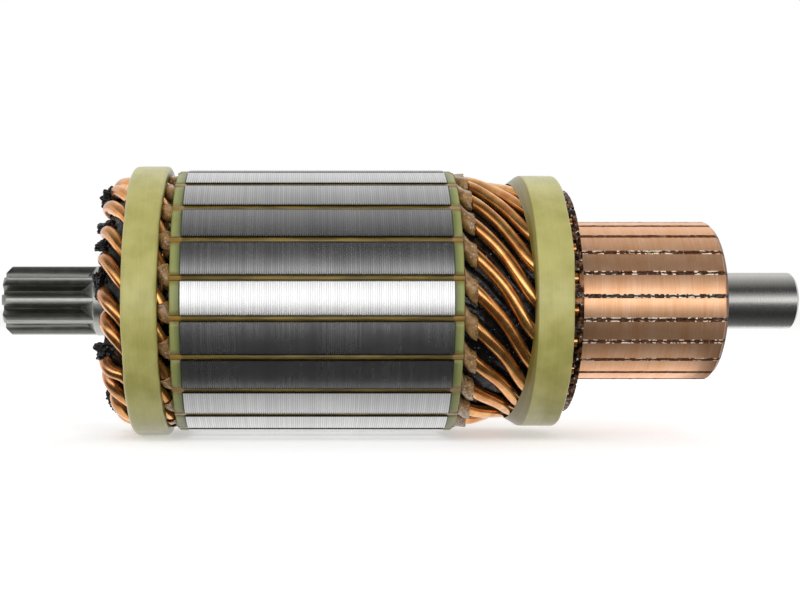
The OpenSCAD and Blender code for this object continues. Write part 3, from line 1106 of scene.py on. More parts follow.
@dataclass
class Winding:
    """The 22 hairpins, on the same runs as their solids but round and uneven."""

    layout: Layout
    wire_r: float = 1.55
    nose_wire_r: float = 1.65
    upper_r: float = 29.55
    lower_r: float = 26.4
    span: float = 5 * PITCH
    upper_angle: float = 2.868 * PITCH
    straight_drive: float = -35.4
    straight_commutator: float = 35.0
    nose_l: float = 14.3
    overhang_l: float = 22.4
    upper_band_r: float = 27.55
    lower_band_r: float = 23.9
    riser_upper_r: float = 25.8
    riser_lower_r: float = 22.7
    upper_run: tuple = ((1, 1), (0.82, 0.975), (0.64, 0.85), (0.36, 0.42), (0.085, 0.132),
                        (-0.03, 0.02), (-0.07, 0))
    lower_run: tuple = ((0, 0), (0.18, 0.13), (0.38, 0.38), (1, 1))
    nose_run: tuple = ((-0.13, 0, 0), (-0.06, 0, 0.02), (0.08, 0, 0.115), (0.36, 0, 0.25),
                       (0.65, 0, 0.38), (0.91, 0.26, 0.49), (1, 0.95, 0.538),
                       (0.91, 1.58, 0.585), (0.6, 1.62, 0.71), (0, 1, 1))
    # how far the solids' upper wires turn first, as shares of the length and of the turn
    solid_upper_run: tuple = ((0, 0), (0.08, 0.065))
    solid_nose_run: tuple = ((0, 0), (0.09, 0.05))
    # lengths over which a layer comes down to the band
    upper_drop_l: float = 11.0
    lower_drop_l: float = 8.0
    # where the layers come down into the risers: first and last distance before them
    upper_riser_drop: tuple[float, float] = (3.4, 0.4)
    lower_riser_drop: tuple[float, float] = (8.0, 1.0)
    # how much shorter the noses are than their solids', at most and at least
    nose_short: tuple[float, float] = (1.3, 0.5)
    # wires are squeezed this much in their sleeves, between these stations either way
    squeeze: float = 0.14
    squeezed: tuple[float, float, float, float] = (32.0, 33.4, 36.2, 37.2)
    # how far past the straight part the wires start to flatten, and end
    nose_swell: tuple[float, float] = (8.0, 13.0)
    # how far inside the risers' faces the wires end
    riser_inset: float = 1.2
    end_steps: int = 5
    # hairpins that end short of the rest: number to millimetres
    short: dict = field(default_factory=lambda: {18: 0.6, 19: 1.4, 20: 1.8})
    # hairpins knocked out of line: number to shift at the band and at the nose
    bent: dict = field(default_factory=lambda: {
        11: (-0.5, -0.7), 12: (1.5, 0.5), 13: (0.0, -0.7), 14: (0.0, 1.2), 15: (-3.0, -2.5),
        16: (-4.0, 2.5), 17: (-4.5, -4.5)})

    def upper_radius(self, s: float) -> float:
        """Radius of the upper layer's centres past the core.

        Args:
            s: The station, in millimetres.

        Returns:
            The radius, in millimetres.
        """
        start = self.straight_commutator
        riser = start + self.overhang_l
        first, last = (riser - d for d in self.upper_riser_drop)
        return (self.upper_r
                - (self.upper_r - self.upper_band_r) * ease(start, start + self.upper_drop_l, s)
                - (self.upper_band_r - self.riser_upper_r) * ease(first, last, s))

    def lower_radius(self, s: float) -> float:
        """Radius of the lower layer's centres past the core.

        Args:
            s: The station, in millimetres.

        Returns:
            The radius, in millimetres.
        """
        start = self.straight_commutator
        riser = start + self.overhang_l
        first, last = (riser - d for d in self.lower_riser_drop)
        return (self.lower_r
                - (self.lower_r - self.lower_band_r) * ease(start, start + self.lower_drop_l, s)
                - (self.lower_band_r - self.riser_lower_r) * ease(first, last, s))

    def _end_run(self, run: Sequence[tuple[float, float]]) -> list[tuple[float, float]]:
        """Smooths a run past the core, into pairs of station and share of the turn."""
        smooth = smooth_run([(*q, 0.0) for q in run], self.end_steps)
        return [(self.straight_commutator + q[0] * self.overhang_l, q[1]) for q in smooth]

    def upper_end(self, i: int) -> list[Point]:
        """Upper run of a hairpin past the core.

        Args:
            i: The hairpin's number, from 0.

        Returns:
            Its points as radius, angle and station.
        """
        phase = SLOT_PHASE + i * PITCH
        return [(self.upper_radius(s), phase + share * self.upper_angle, s)
                for s, share in self._end_run(self.upper_run)]

    def turned_by(self, s: float) -> float:
        """How far the upper wires have turned just past an end board.

        Args:
            s: The station, in millimetres.

        Returns:
            The turn, in degrees.
        """
        if s > 0:
            along = (s - self.straight_commutator) / self.overhang_l
            return follow([q[:2] for q in reversed(self.upper_run)], along) * self.upper_angle
        along = (self.straight_drive - s) / (self.nose_l - sum(self.nose_short) / 2)
        return -follow([(q[0], q[2]) for q in self.nose_run[:4]], along) * self.span

    def solid_turned_by(self, s: float) -> float:
        """How far the solids' upper wires have turned just past an end board.

        Args:
            s: The station, in millimetres.

        Returns:
            The turn, in degrees.
        """
        if s > 0:
            along = (s - self.straight_commutator) / self.overhang_l
            return follow(self.solid_upper_run, along) * self.upper_angle
        along = (self.straight_drive - s) / self.nose_l
        return -follow(self.solid_nose_run, along) * self.span

    def lower_end(self, i: int) -> list[Point]:
        """Lower run of a hairpin past the core.

        Args:
            i: The hairpin's number, from 0.

        Returns:
            Its points as radius, angle and station.
        """
        phase, turn = SLOT_PHASE + i * PITCH - self.span, self.span - self.upper_angle
        return [(self.lower_radius(s), phase - share * turn, s)
                for s, share in self._end_run(self.lower_run)]

    def nose(self, i: int, steps: int = 6) -> list[Point]:
        """Drive-end bend of a hairpin.

        Args:
            i: The hairpin's number, from 0.
            steps: How many pieces each gap of the run is cut into.

        Returns:
            Its points as radius, angle and station, from the upper layer to the lower.
        """
        phase = SLOT_PHASE + i * PITCH
        dice = random.Random(100 + i)
        band_shift, nose_shift = self.bent.get(i, (dice.uniform(-1, 1), dice.uniform(-2, 2)))
        most, least = self.nose_short
        reach = dice.uniform(-most, -least) - self.short.get(i, 0.0)
        points = []
        for along, down, round_ in smooth_run(self.nose_run, steps):
            if round_ < 0.6:
                shift = (band_shift * ease(0, 0.65, along)
                         + (nose_shift - band_shift) * ease(0.65, 1, along))
            else:
                shift = nose_shift * ease(0, 1, along)
            points.append((self.upper_r - down * (self.upper_r - self.lower_r),
                           phase - round_ * self.span + shift,
                           self.straight_drive - along * (self.nose_l + reach)))
        return points

    def line(self, i: int) -> list[Point]:
        """Whole centre line of a hairpin, from riser to riser.

        Args:
            i: The hairpin's number, from 0.

        Returns:
            Its points as radius, angle and station.
        """
        end = self.layout.riser_end - self.riser_inset
        upper, lower = self.upper_end(i), self.lower_end(i)
        return [(self.riser_upper_r, upper[0][1], end), *upper, *self.nose(i), *lower,
                (self.riser_lower_r, lower[-1][1], end)]

    def radius_at(self, s: float) -> float:
        """Wire radius, a little flattened out at the noses and squeezed in the sleeves.

        Args:
            s: The station, in millimetres.

        Returns:
            The radius, in metres.
        """
        bend, flat = (self.straight_drive - d for d in self.nose_swell)
        first, full, past, last = self.squeezed
        squeezed = ease(first, full, abs(s)) - ease(past, last, abs(s))
        return (self.wire_r + (self.nose_wire_r - self.wire_r) * ease(bend, flat, s)
                - self.squeeze * squeezed) * MM

    def build(self) -> None:
        """Sweeps each hairpin and puts it in its solid's place."""
        for i, name in enumerate(numbered("hairpin")):
            line = self.line(i)
            points = [self.layout.at(*q) for q in line]
            mesh = tube_mesh([(points, [self.radius_at(q[2]) for q in line])], sides=16)
            piece = settle(f"{name}_wire", mesh, EnamelledCopper(), self.layout)
            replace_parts(piece, name)


@dataclass
class SlotLiners:
    """Paper sleeves in the slots, crumpled and frayed where they stand out."""

    layout: Layout
    winding: Winding
    crumple: float = 0.13
    fray: float = 0.30
    # edges are cut down to this length where the sleeves stand out
    longest: float = 0.85
    # how far the solids' sleeves stand out at the commutator end and at the drive end
    reach: tuple[float, float] = (3.2, 2.9)
    # parts of a sleeve further out than this lean with the upper wires
    lean_r: float = 28.0
    # sleeves round the wires at the drive end: length, how uneven it is, radius, how much
    # that widens outwards, depth of the lumps, and wall
    drive_reach: float = 2.0
    uneven: float = 0.35
    sleeve_r: float = 1.63
    flare: float = 0.07
    lump: float = 0.2
    wall: float = 0.18

    def _out(self, place: Vector) -> float:
        """How far a point stands out of the end boards, in millimetres."""
        station = self.layout.station(place)
        return max(station - self.layout.disc_commutator, self.layout.disc_drive - station)

    def build(self) -> None:
        """Builds the crumpled sleeves in their solids' place."""
        shape = self._cut_liners()
        for vert in shape.verts:
            out = self._out(vert.co)
            free = ease(0.0, 1.6, out)
            if free > 0:
                self._crumple(vert, out, free)
        piece = settle("slot_liners_paper", to_mesh(shape, "liners"), SlotPaper(), self.layout,
                       crease=55)
        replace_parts(piece, "slot_liners")
        self._drive_sleeves()

    def _cut_liners(self) -> bmesh.types.BMesh:
        """Copies the solids' sleeves and cuts them finely outside the end boards.

        Returns:
            The cut shape.
        """
        shape = bmesh.new()
        shape.from_mesh(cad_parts["slot_liners"].data)
        bmesh.ops.remove_doubles(shape, verts=shape.verts, dist=WELD)
        for station in (self.layout.disc_commutator, self.layout.disc_drive):
            bmesh.ops.bisect_plane(shape, geom=[*shape.verts, *shape.edges, *shape.faces],
                                   plane_co=self.layout.at(0, 0, station), plane_no=(1, 0, 0),
                                   dist=SAME)
        for _ in range(4):
            long = [e for e in shape.edges if e.calc_length() > self.longest * MM
                    and self._out((e.verts[0].co + e.verts[1].co) / 2) > 0.01]
            bmesh.ops.subdivide_edges(shape, edges=long, cuts=1)
            bmesh.ops.triangulate(shape, faces=[f for f in shape.faces if len(f.verts) > 3])
        return shape

    def _crumple(self, vert: bmesh.types.BMVert, out: float, free: float) -> None:
        """Moves one corner of a sleeve that stands out of its board.

        Args:
            vert: The corner.
            out: How far it stands out, in millimetres.
            free: How free of the board it is, from 0 to 1.
        """
        outward = 1 if vert.co.x > 0 else -1
        full = self.reach[0] if outward > 0 else self.reach[1]
        end = ease(full * 0.6, full, out)
        fray = noise.noise(vert.co * 1500) + 0.5 * noise.noise(vert.co * 3500)
        # the solids' cuffs start clear of the board, so they are drawn back to it
        vert.co.x += outward * (full * (min(out, full) / full) ** 3 - min(out, full)) * MM
        station = self.layout.station(vert.co)
        vert.co += noise.noise_vector(vert.co * 800) * (self.crumple * free * MM)
        vert.co.x += outward * end * (fray * self.fray - 0.1) * MM
        if math.hypot(vert.co.y, vert.co.z) > self.lean_r * MM:
            turn = (self.winding.turned_by(self.layout.station(vert.co))
                    - self.winding.solid_turned_by(station))
            vert.co = Matrix.Rotation(math.radians(turn), 3, "X") @ vert.co

    def _drive_sleeves(self) -> None:
        """Builds the sleeves round both wires of each slot at the drive end."""
        lay, lines = self.layout, []
        for i in range(SLOTS):
            dice = random.Random(300 + i)
            bend = self.winding.nose(i, 10)
            middle = len(bend) // 2
            for run in (bend[:middle], bend[:middle:-1]):
                reach = self.drive_reach + dice.uniform(-self.uneven, self.uneven)
                inside = [q for q in run[1:] if lay.disc_drive - q[2] < reach]
                line = [(*run[0][:2], lay.disc_drive + 0.5), run[0], *inside]
                radii = [self.sleeve_r * MM * (1 + self.flare * k / len(line))
                         for k in range(len(line))]
                lines.append(([lay.at(*q) for q in line], radii))
        shape = bmesh.new()
        shape.from_mesh(tube_mesh(lines, sides=24, capped=False))
        for vert in shape.verts:
            free = ease(0.2, self.drive_reach, self._out(vert.co))
            way = outwards(vert.co)
            lump = noise.noise(vert.co * 900)
            vert.co += way * (lump * self.lump * free * MM)
            vert.co.x -= (noise.noise(vert.co * 1500) * 0.4 + lump * 0.25) * free * free * MM
        name = "slot_sleeves_drive"
        give_wall(settle(name, to_mesh(shape, name), SlotPaper(), lay, crease=60), self.wall)


@dataclass
class Insulation:
    """Black insulation between the wire layers, wrinkled and torn at its edges."""

    layout: Layout
    winding: Winding
    steps: int = 330
    wrinkle: float = 0.8
    # faces of the ring at the commutator end, below the upper wires' centres
    commutator_faces: tuple[float, float] = (1.15, 2.4)
    # ring at the drive end: outer face below the centres, how far it falls between two
    # stations, and its wall
    drive_face: float = 0.8
    drive_fall: float = 2.2
    drive_falls: tuple[float, float] = (-44.5, -49.0)
    drive_wall: float = 1.6
    # varnish lumps at the noses: angle from the horizontal, station, radius, half sizes
    # along the shaft, round it and outwards
    lumps: tuple = (
        (-67, -49.6, 26.6, 1.9, 1.6, 2.3), (-41, -49.0, 25.9, 2.6, 1.7, 1.5),
        (-30, -49.5, 25.4, 2.2, 1.4, 1.5), (-8.5, -49.5, 24.9, 1.9, 3.7, 1.6),
        (27, -48.7, 25.5, 2.5, 2.3, 1.7), (62, -48.9, 26.1, 1.5, 1.6, 1.9),
        (79, -48.2, 27.2, 1.0, 0.9, 1.1), (95, -48.8, 26.2, 2.2, 1.8, 1.9),
        (128, -48.5, 26.2, 2.3, 2.0, 2.0), (160, -49.2, 26.4, 2.4, 2.2, 2.0),
        (205, -48.7, 26.3, 2.5, 1.9, 2.0), (238, -49.0, 26.0, 2.1, 2.0, 1.9),
        (268, -48.6, 26.4, 2.3, 1.8, 2.0))

    def _wrinkle(self, shape: bmesh.types.BMesh, seed: int,
                 lean: Callable[[float], float]) -> None:
        """Works ridges into a ring, running along the wires, and crumples it.

        Args:
            shape: The ring.
            seed: Seed of the noise.
            lean: Angle that the wires have turned through at a station.
        """
        for vert in shape.verts:
            way = outwards(vert.co)
            station = self.layout.station(vert.co)
            turn = math.radians(angle_of(vert.co) - lean(station))
            ridge = noise.noise(Vector((math.cos(turn) * 16, math.sin(turn) * 16,
                                        station * 0.12 + seed)))
            fine = noise.noise(vert.co * 1100 + Vector((0, seed, 0)))
            vert.co += way * ((ridge * 0.8 + fine * 0.2 - 0.3) * self.wrinkle * MM)
            vert.co.x += fine * self.wrinkle * 0.4 * MM

    def build(self) -> None:
        """Builds both rings and the lumps that show between the noses."""
        self._commutator_ring()
        self._drive_ring()
        self._lumps()

    def _commutator_ring(self) -> None:
        """Ring under the upper wires at the commutator end."""
        w = self.winding
        start, end = w.straight_commutator - 1.5, w.straight_commutator + w.overhang_l - 3
        stations = spread(start, end, 28)
        near, far = self.commutator_faces
        outer = [(w.upper_radius(s) - near, s) for s in stations]
        inner = [(w.upper_radius(s) - far, s) for s in reversed(stations)]
        shape = turned([*outer, *inner], self.layout, self.steps)
        self._wrinkle(shape, 3, lambda s: w.upper_angle * ease(start - 2, end + 3, s))
        piece = settle("layer_insulation_commutator_sheet", to_mesh(shape, "ring"), BlackVarnish(),
                       self.layout, crease=70)
        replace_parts(piece, "layer_insulation_commutator")

    def _drive_ring(self) -> None:
        """Ring under the upper wires at the drive end, out to the noses."""
        w = self.winding
        start, end = w.straight_drive - 0.3, w.straight_drive - w.nose_l + 1.4
        outer = [(w.upper_r - self.drive_face - self.drive_fall * ease(*self.drive_falls, s), s)
                 for s in spread(start, end, 24)]
        inner = [(r - self.drive_wall, s) for r, s in reversed(outer)]
        shape = turned([*outer, *inner], self.layout, self.steps)
        self._wrinkle(shape, 5, lambda s: w.span * 0.5 * (s - start) / (start - end))
        piece = settle("layer_insulation_drive_sheet", to_mesh(shape, "ring"), BlackVarnish(),
                       self.layout, crease=70)
        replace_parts(piece, "layer_insulation_drive")

    def _lumps(self) -> None:
        """Torn, varnish-soaked lumps that stand out between the noses."""
        shape = bmesh.new()
        for i, (angle, station, radius, *half) in enumerate(self.lumps):
            spot = self.layout.at(radius, 180 + angle, station)
            made = bmesh.ops.create_icosphere(shape, subdivisions=5, radius=1.0)["verts"]
            turn = Matrix.Rotation(math.radians(180 + angle), 3, "X")
            for vert in made:
                seed = Vector((i * 9.0, i * 5.0, 0))
                rough = (0.9 + 0.75 * noise.noise(vert.co * 1.4 + seed)
                         + 0.35 * abs(noise.noise(vert.co * 3.0 + seed))
                         + 0.05 * noise.noise(vert.co * 9 + seed))
                local = Vector((vert.co.x * half[0], vert.co.y * half[2], vert.co.z * half[1]))
                vert.co = turn @ (local * (rough * MM)) + spot
        settle("torn_insulation", to_mesh(shape, "lumps"), BlackVarnish(), self.layout, crease=80)


@dataclass(frozen=True)
class Band:
    """One glass band: its inner radius and how its edges wander round the winding.

    lips and trims hold one value for each quarter, from the side towards -Y on through
    the bottom, the far side and the top: how far the edge towards -X feathers out, and
    how far the other edge is drawn back.
    """

    node: str
    inner_r: float
    edge: float
    lips: tuple[float, float, float, float]
    trims: tuple[float, float, float, float]


GLASS_BANDS = (
    Band("band_drive", 31.1, 1.1, (0.1, 0.3, 0.2, 0.2), (0.6, 0.0, 0.2, 0.0)),
    Band("band_commutator", 29.1, 0.7, (0.0, 3.0, 1.4, 2.3), (0.6, 0.3, 0.2, 0.4)))


@dataclass
class GlassBands:
    """Bands of resin-soaked glass tape over both ends of the winding."""

    layout: Layout
    steps: int = 240
    # broad and fine unevenness, along the shaft and outwards
    wander: tuple[float, float] = (0.22, 0.06)
    swell: tuple[float, float] = (0.10, 0.04)

    @staticmethod
    def _round(values: Sequence[float], angle: float) -> float:
        """Reads four quarter values at an angle, with soft steps between them.

        Args:
            values: The quarters' values, from the side towards -Y.
            angle: The angle, in degrees.

        Returns:
            The value there.
        """
        place = (angle - 180) % 360 / 90
        first = int(place) % 4
        return values[first] + (values[(first + 1) % 4] - values[first]) * ease(0, 1, place % 1)

    def build(self) -> None:
        """Builds both bands in their solids' places."""
        for seed, band in enumerate(GLASS_BANDS):
            mesh = to_mesh(self._wound(band, seed), band.node)
            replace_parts(settle(f"{band.node}_tape", mesh, GlassTape(), self.layout), band.node)

    def _wound(self, band: Band, seed: int) -> bmesh.types.BMesh:
        """Turns one band and makes its edges wander.

        Args:
            band: The band.
            seed: Seed of the noise.

        Returns:
            The uneven shape.
        """
        lo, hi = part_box(band.node)
        start, end, outer_r = self.layout.station(lo), self.layout.station(hi), hi.z / MM
        shape = turned(rounded_profile(band.inner_r, outer_r, start, end, band.edge),
                       self.layout, self.steps)
        for vert in shape.verts:
            station, angle = self.layout.station(vert.co), angle_of(vert.co)
            radius = math.hypot(vert.co.y, vert.co.z) / MM
            way = outwards(vert.co)
            low = 1 - (radius - band.inner_r) / (outer_r - band.inner_r)
            lip = self._round(band.lips, angle) * max(0.0, low) ** 1.3
            near = ease(start + 2.5, start, station)
            trim = self._round(band.trims, angle) * ease(end - 4, end, station)
            wave = noise.noise(vert.co * 90 + Vector((seed * 7.0, 0, 0)))
            fine = noise.noise(vert.co * 400 + Vector((0, seed * 7.0, 0)))
            broad_x, fine_x = self.wander
            vert.co.x += (wave * broad_x + fine * fine_x - lip * near - trim) * MM
            if low < 0.9:
                broad, small = self.swell
                vert.co += way * ((wave * broad + fine * small - 0.05) * MM)
        return shape


@dataclass
class Commutator:
    """Burrs along the undercuts and solder in the risers."""

    layout: Layout
    winding: Winding
    half_gap: float = 0.4
    # burrs: how far they keep from the risers and from the bars' ends, their step along
    # the shaft, how far they start before the edge, and their thickness
    clear: tuple[float, float] = (0.4, 1.1)
    pace: float = 0.3
    root: float = 0.12
    burr_t: float = 0.05
    # solder beads: degrees from a bar's middle, and smallest and largest radius
    beads: tuple[float, ...] = (-3.6, 3.6, 8.18)
    bead_r: tuple[float, float] = (0.22, 0.42)

    def build(self) -> None:
        """Builds the burrs and the solder."""
        self._burrs()
        self._solder()

    def _bar_phase(self) -> float:
        """Angle of the first bar's middle."""
        return SLOT_PHASE + self.winding.upper_angle

    def _burrs(self) -> None:
        """Copper dragged over the edges of the undercuts, in uneven slivers."""
        shape = bmesh.new()
        for i in range(SLOTS):
            for side in (-1, 1):
                rows = self._sliver(shape, i, side)
                for first, second in zip(rows, rows[1:]):
                    for k in range(2):
                        shape.faces.new((first[k], first[k + 1], second[k + 1], second[k]))
        burrs = settle("undercut_burrs", to_mesh(shape, "burrs"), DraggedCopper(), self.layout,
                       crease=60)
        give_wall(burrs, self.burr_t)

    def _sliver(self, shape: bmesh.types.BMesh, i: int,
                side: int) -> list[list[bmesh.types.BMVert]]:
        """Lays the corners of one undercut's burrs along one of its edges.

        Args:
            shape: The shape that they are added to.
            i: The undercut's number, from 0.
            side: Which of its edges, -1 or 1.

        Returns:
            The corners in rows along the shaft: at the root, halfway and at the tip.
        """
        lay = self.layout
        start, end = lay.riser_end + self.clear[0], lay.track_end - self.clear[1]
        count = int((end - start) / self.pace)
        middle = self._bar_phase() + (i + 0.5) * PITCH
        root = middle + side * math.degrees((self.half_gap + self.root) / lay.track_r)
        rows = []
        for s in spread(start, end, count):
            wave = noise.noise(Vector((s * 0.9, i * 3.1, side * 5.0)))
            sharp = noise.noise(Vector((s * 2.6, i * 4.7, side * 9.0)))
            over = max(0.0, 0.38 + wave + sharp * 0.5) * self.half_gap
            tip = root - side * math.degrees((self.root + over) / lay.track_r)
            lift = 0.03 + 0.14 * max(0.0, noise.noise(Vector((s * 0.7, i * 2.3, side * 3.0))))
            rows.append([shape.verts.new(lay.at(lay.track_r + up, angle, s))
                         for up, angle in ((0.005, root), (lift, (root + tip) / 2),
                                           (lift * 0.4 - 0.05, tip))])
        return rows

    def _solder(self) -> None:
        """Solder between the wires and the risers, in small crusted beads."""
        lay = self.layout
        shape = bmesh.new()
        dice = random.Random(23)
        for i in range(SLOTS):
            middle = self._bar_phase() + i * PITCH
            for offset in self.beads:
                for _ in range(2):
                    made = bmesh.ops.create_icosphere(shape, subdivisions=2, radius=1.0)["verts"]
                    angle = middle + offset + dice.uniform(-0.8, 0.8)
                    spot = lay.at(lay.riser_r - dice.uniform(0.1, 0.5), angle,
                                  lay.riser_end - dice.uniform(0.3, 1.3))
                    size = dice.uniform(*self.bead_r) * MM
                    for vert in made:
                        rough = 1 + 0.3 * noise.noise(vert.co * 2 + Vector((i * 3.0, offset, 0)))
                        vert.co = vert.co * (size * rough) + spot
        settle("riser_solder", to_mesh(shape, "solder"), Solder(), lay, crease=80)


@dataclass
class SteelParts:
    """Shaft, core and end boards."""

    layout: Layout
    shaft_edge: float = 0.14
    board_edge: float = 0.5

    def build(self) -> None:
        """Rounds the shaft's edges and dresses the core and its end boards."""
        shaft = bevelled_copy("shaft", self.shaft_edge)
        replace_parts(settle("shaft_ground", shaft, DarkSteel(), self.layout, crease=30), "shaft")
        dress_solid("lamination_stack", CoreSteel(), self.layout)
        for name in ("end_disc_drive", "end_disc_commutator"):
            mesh = bevelled_copy(name, self.board_edge, segments=4, wanted=self._on_rim)
            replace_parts(settle(f"{name}_board", mesh, EndBoard(), self.layout, crease=50), name)

    def _on_rim(self, edge: bmesh.types.BMEdge) -> bool:
        """Finds the edges round the outer rim of an end board.

        Args:
            edge: An edge of the board.

        Returns:
            Whether it is one of them.
        """
        first, second = (v.co for v in edge.verts)
        reach = min(math.hypot(co.y, co.z) for co in (first, second)) / MM
        return reach > self.layout.core_r - 0.4 and abs(first.x - second.x) < 1e-6


# ---- studio ----

class Shade(Enum):
    """What a graded card in the surroundings shows, as place to level.

    The floor cards' places are millimetres in front of the shaft, one card each under
    the core, the commutator and the journal; the arch's are degrees above the horizon,
    seen from the shaft.
    """

    CORE = ((8, 1.2), (14, 1.1), (22, 0.80), (25.7, 0.64), (28.5, 0.12), (31.5, 0.012),
            (60, 0.012), (90, 0.045), (120, 0.12), (190, 0.33), (300, 0.75))
    TRACK = ((2, 0.9), (8, 0.75), (15, 0.45), (22, 0.24), (28, 0.08), (40, 0.02), (60, 0.02),
             (90, 0.045), (120, 0.12), (190, 0.33), (300, 0.75))
    JOURNAL = ((-30, 0.5), (-10, 0.25), (5, 0.12), (17, 0.05), (30, 0.05), (60, 0.09), (90, 0.10),
               (190, 0.33), (300, 0.75))
    ARCH = ((17, 0.92), (22, 0.62), (27, 0.43), (35, 0.10), (41, 0.02), (54, 0.02), (62, 0.14),
            (75, 0.33), (90, 0.53), (106, 0.78), (122, 1.0), (140, 1.2))


@dataclass(frozen=True)
class Lamp:
    """One soft rectangular lamp, turned towards the armature's middle."""

    name: str
    place: Point
    size: tuple[float, float]
    power: float
    mirrored: bool


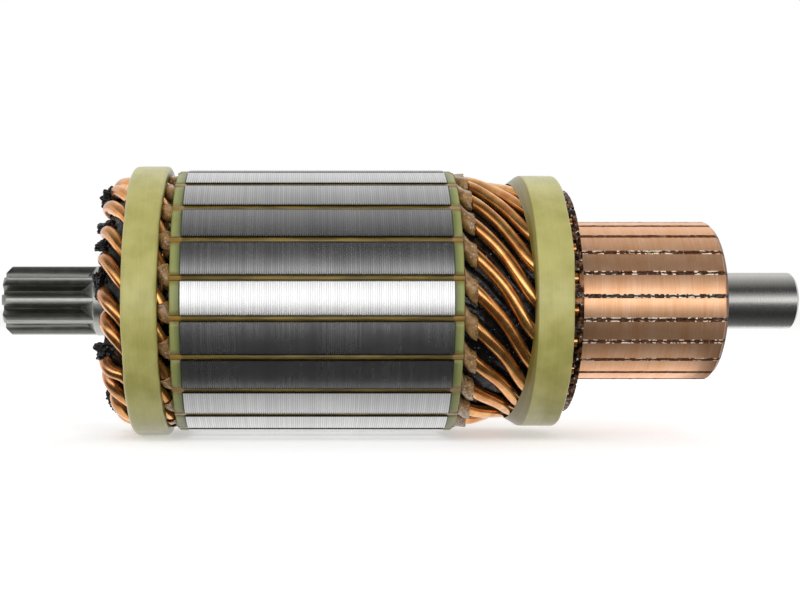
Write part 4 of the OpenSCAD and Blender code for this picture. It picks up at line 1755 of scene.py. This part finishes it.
@dataclass
class Studio:
    """White floor, soft lamps and the cards that the metal mirrors."""

    layout: Layout
    floor_z: float
    ambient: float = 0.6
    floor_half: float = 4.0
    card_half: float = 0.8
    arch_r: float = 0.5
    # a broad box in front, and lamps above that the metal doesn't mirror
    lamps: tuple[Lamp, ...] = (
        Lamp("front_box", (-0.02, -0.60, 0.058), (1.1, 0.175), 0.85, True),
        Lamp("front_top", (-0.05, -0.75, 0.85), (1.1, 0.5), 5.0, False),
        Lamp("top_back", (0.0, 0.6, 0.9), (1.1, 0.5), 3.0, False))
    camera_place: Point = (-0.0247, -0.325, 0.0002)
    lens: float = 58.5
    shift: float = 0.125

    def build(self) -> None:
        """Sets up the world, the floor, the lamps, the cards and the camera."""
        self._world()
        self._floor()
        self._lamps()
        self._cards()
        self._camera()

    def _world(self) -> None:
        """Even white light, pure white where it is seen or mirrored."""
        world = bpy.data.worlds.new("studio")
        bpy.context.scene.world = world
        tree = Tree(world)
        level = tree.node("ShaderNodeMapRange", None, {
            "Value": tree.rays("Camera", "Glossy", "Transmission"), "To Min": self.ambient})
        tree.output(tree.node("ShaderNodeBackground", None,
                              {"Color": (1, 1, 1), "Strength": level}), "World")

    def _stand(self, name: str, shape: bmesh.types.BMesh) -> bpy.types.Object:
        """Puts up a surface of the stage.

        Args:
            name: Its name.
            shape: Its shape, which is freed.

        Returns:
            The surface's object.
        """
        surface = bpy.data.objects.new(name, to_mesh(shape, name, turn_out=False))
        bpy.context.scene.collection.objects.link(surface)
        return surface

    def _floor(self) -> None:
        """White floor that keeps the object's shadow."""
        shape = bmesh.new()
        size = self.floor_half
        shape.faces.new([shape.verts.new((x * size, y * size, self.floor_z))
                         for x, y in ((-1, -1), (1, -1), (1, 1), (-1, 1))])
        plane = self._stand("floor", shape)
        tree = Tree(bpy.data.materials.new("floor_white"))
        mirrored = tree.rays("Glossy", "Transmission")
        seen = (tree.rays("Camera") * 0.45).math("MAXIMUM", mirrored * 0.8)
        paper = tree.node("ShaderNodeBsdfDiffuse", None, {"Color": (0.75, 0.75, 0.75)})
        tree.output(tree.node("ShaderNodeAddShader", None,
                              {0: paper, 1: tree.glow((1, 1, 1), seen)}))
        plane.data.materials.append(tree.owner)

    def _lamps(self) -> None:
        """Hangs the lamps."""
        for lamp in self.lamps:
            data = bpy.data.lights.new(lamp.name, "AREA")
            data.shape = "RECTANGLE"
            data.size, data.size_y = lamp.size
            data.energy = lamp.power
            holder = bpy.data.objects.new(lamp.name, data)
            holder.location = lamp.place
            holder.rotation_euler = (-Vector(lamp.place)).to_track_quat("-Z", "Y").to_euler()
            holder.visible_camera = False
            holder.visible_glossy = lamp.mirrored
            bpy.context.scene.collection.objects.link(holder)

    def _cards(self) -> None:
        """Graded cards in front and overhead that only the metal's reflections see."""
        z = self.floor_z + 0.5 * MM
        joints = (-self.card_half, self.layout.at(0, 0, self.layout.riser_end - 6).x,
                  self.layout.at(0, 0, self.layout.track_end + 1).x, self.card_half)
        shades = (Shade.CORE, Shade.TRACK, Shade.JOURNAL)
        for shade, first, last in zip(shades, joints, joints[1:]):
            low, high = (shade.value[k][0] * MM for k in (0, -1))
            flat = bmesh.new()
            corners = ((first, -low), (last, -low), (last, -high), (first, -high))
            flat.faces.new([flat.verts.new((x, y, z)) for x, y in corners])
            self._card(f"{shade.name.lower()}_card", flat, shade)

        arch = bmesh.new()
        low, high = (math.radians(Shade.ARCH.value[k][0]) for k in (0, -1))
        ends = [arch.verts.new((x * self.card_half, -self.arch_r * math.cos(low),
                                self.arch_r * math.sin(low))) for x in (-1, 1)]
        rim = arch.edges.new(ends)
        bmesh.ops.spin(arch, geom=[*ends, rim], cent=(0, 0, 0), axis=(1, 0, 0), angle=low - high,
                       steps=40)
        self._card("arch_card", arch, Shade.ARCH)

    def _card(self, name: str, shape: bmesh.types.BMesh, shade: Shade) -> None:
        """Puts up one graded card.

        Args:
            name: The card's name.
            shape: Its surface.
            shade: How its brightness changes over it.
        """
        card = self._stand(name, shape)
        tree = Tree(bpy.data.materials.new(name))
        split = tree.add("ShaderNodeSeparateXYZ", None,
                         {0: tree.node("ShaderNodeTexCoord", None, None, "Object")})
        y, z = (Signal(tree, split.outputs[k]) for k in (1, 2))
        if shade is Shade.ARCH:
            place = z.math("ARCTAN2", y * -1.0) * math.degrees(1)
        else:
            place = y * (-1 / MM)
        first, last = shade.value[0][0], shade.value[-1][0]
        stops = [((at - first) / (last - first), (level,) * 3) for at, level in shade.value]
        tree.output(tree.glow(tree.ramp((place - first) / (last - first), stops), 1.0))
        card.data.materials.append(tree.owner)
        card.visible_camera = card.visible_diffuse = card.visible_shadow = False
        card.visible_transmission = card.visible_volume_scatter = False

    def _camera(self) -> None:
        """Level camera square to the shaft, left of its middle."""
        data = bpy.data.cameras.new("camera")
        data.sensor_width = 36
        data.lens = self.lens
        data.shift_x = self.shift
        data.clip_start, data.clip_end = 0.01, 20
        camera = bpy.data.objects.new("camera", data)
        camera.location = self.camera_place
        camera.rotation_euler = (math.radians(90), 0, 0)
        bpy.context.scene.collection.objects.link(camera)
        bpy.context.scene.camera = camera
        bpy.context.scene.view_settings.view_transform = "Standard"


def main() -> None:
    """Builds and dresses the armature, then the studio round it."""
    logging.basicConfig(level=logging.INFO, format="%(name)s: %(message)s")
    noise.seed_set(NOISE_SEED)
    layout = Layout.from_frame()
    winding = Winding(layout)
    SteelParts(layout).build()
    winding.build()
    SlotLiners(layout, winding).build()
    Insulation(layout, winding).build()
    GlassBands(layout).build()
    Commutator(layout, winding).build()
    dress_solid("end_collar_drive", BlackVarnish(), layout)
    dress_solid("commutator_hub", HubResin(), layout)
    dress_solid("mica_separators", Mica(), layout)
    for name in numbered("commutator_bar"):
        dress_solid(name, TurnedCopper(), layout)
    Studio(layout, cad_box[0].z).build()


if __name__ == "__main__":
    main()
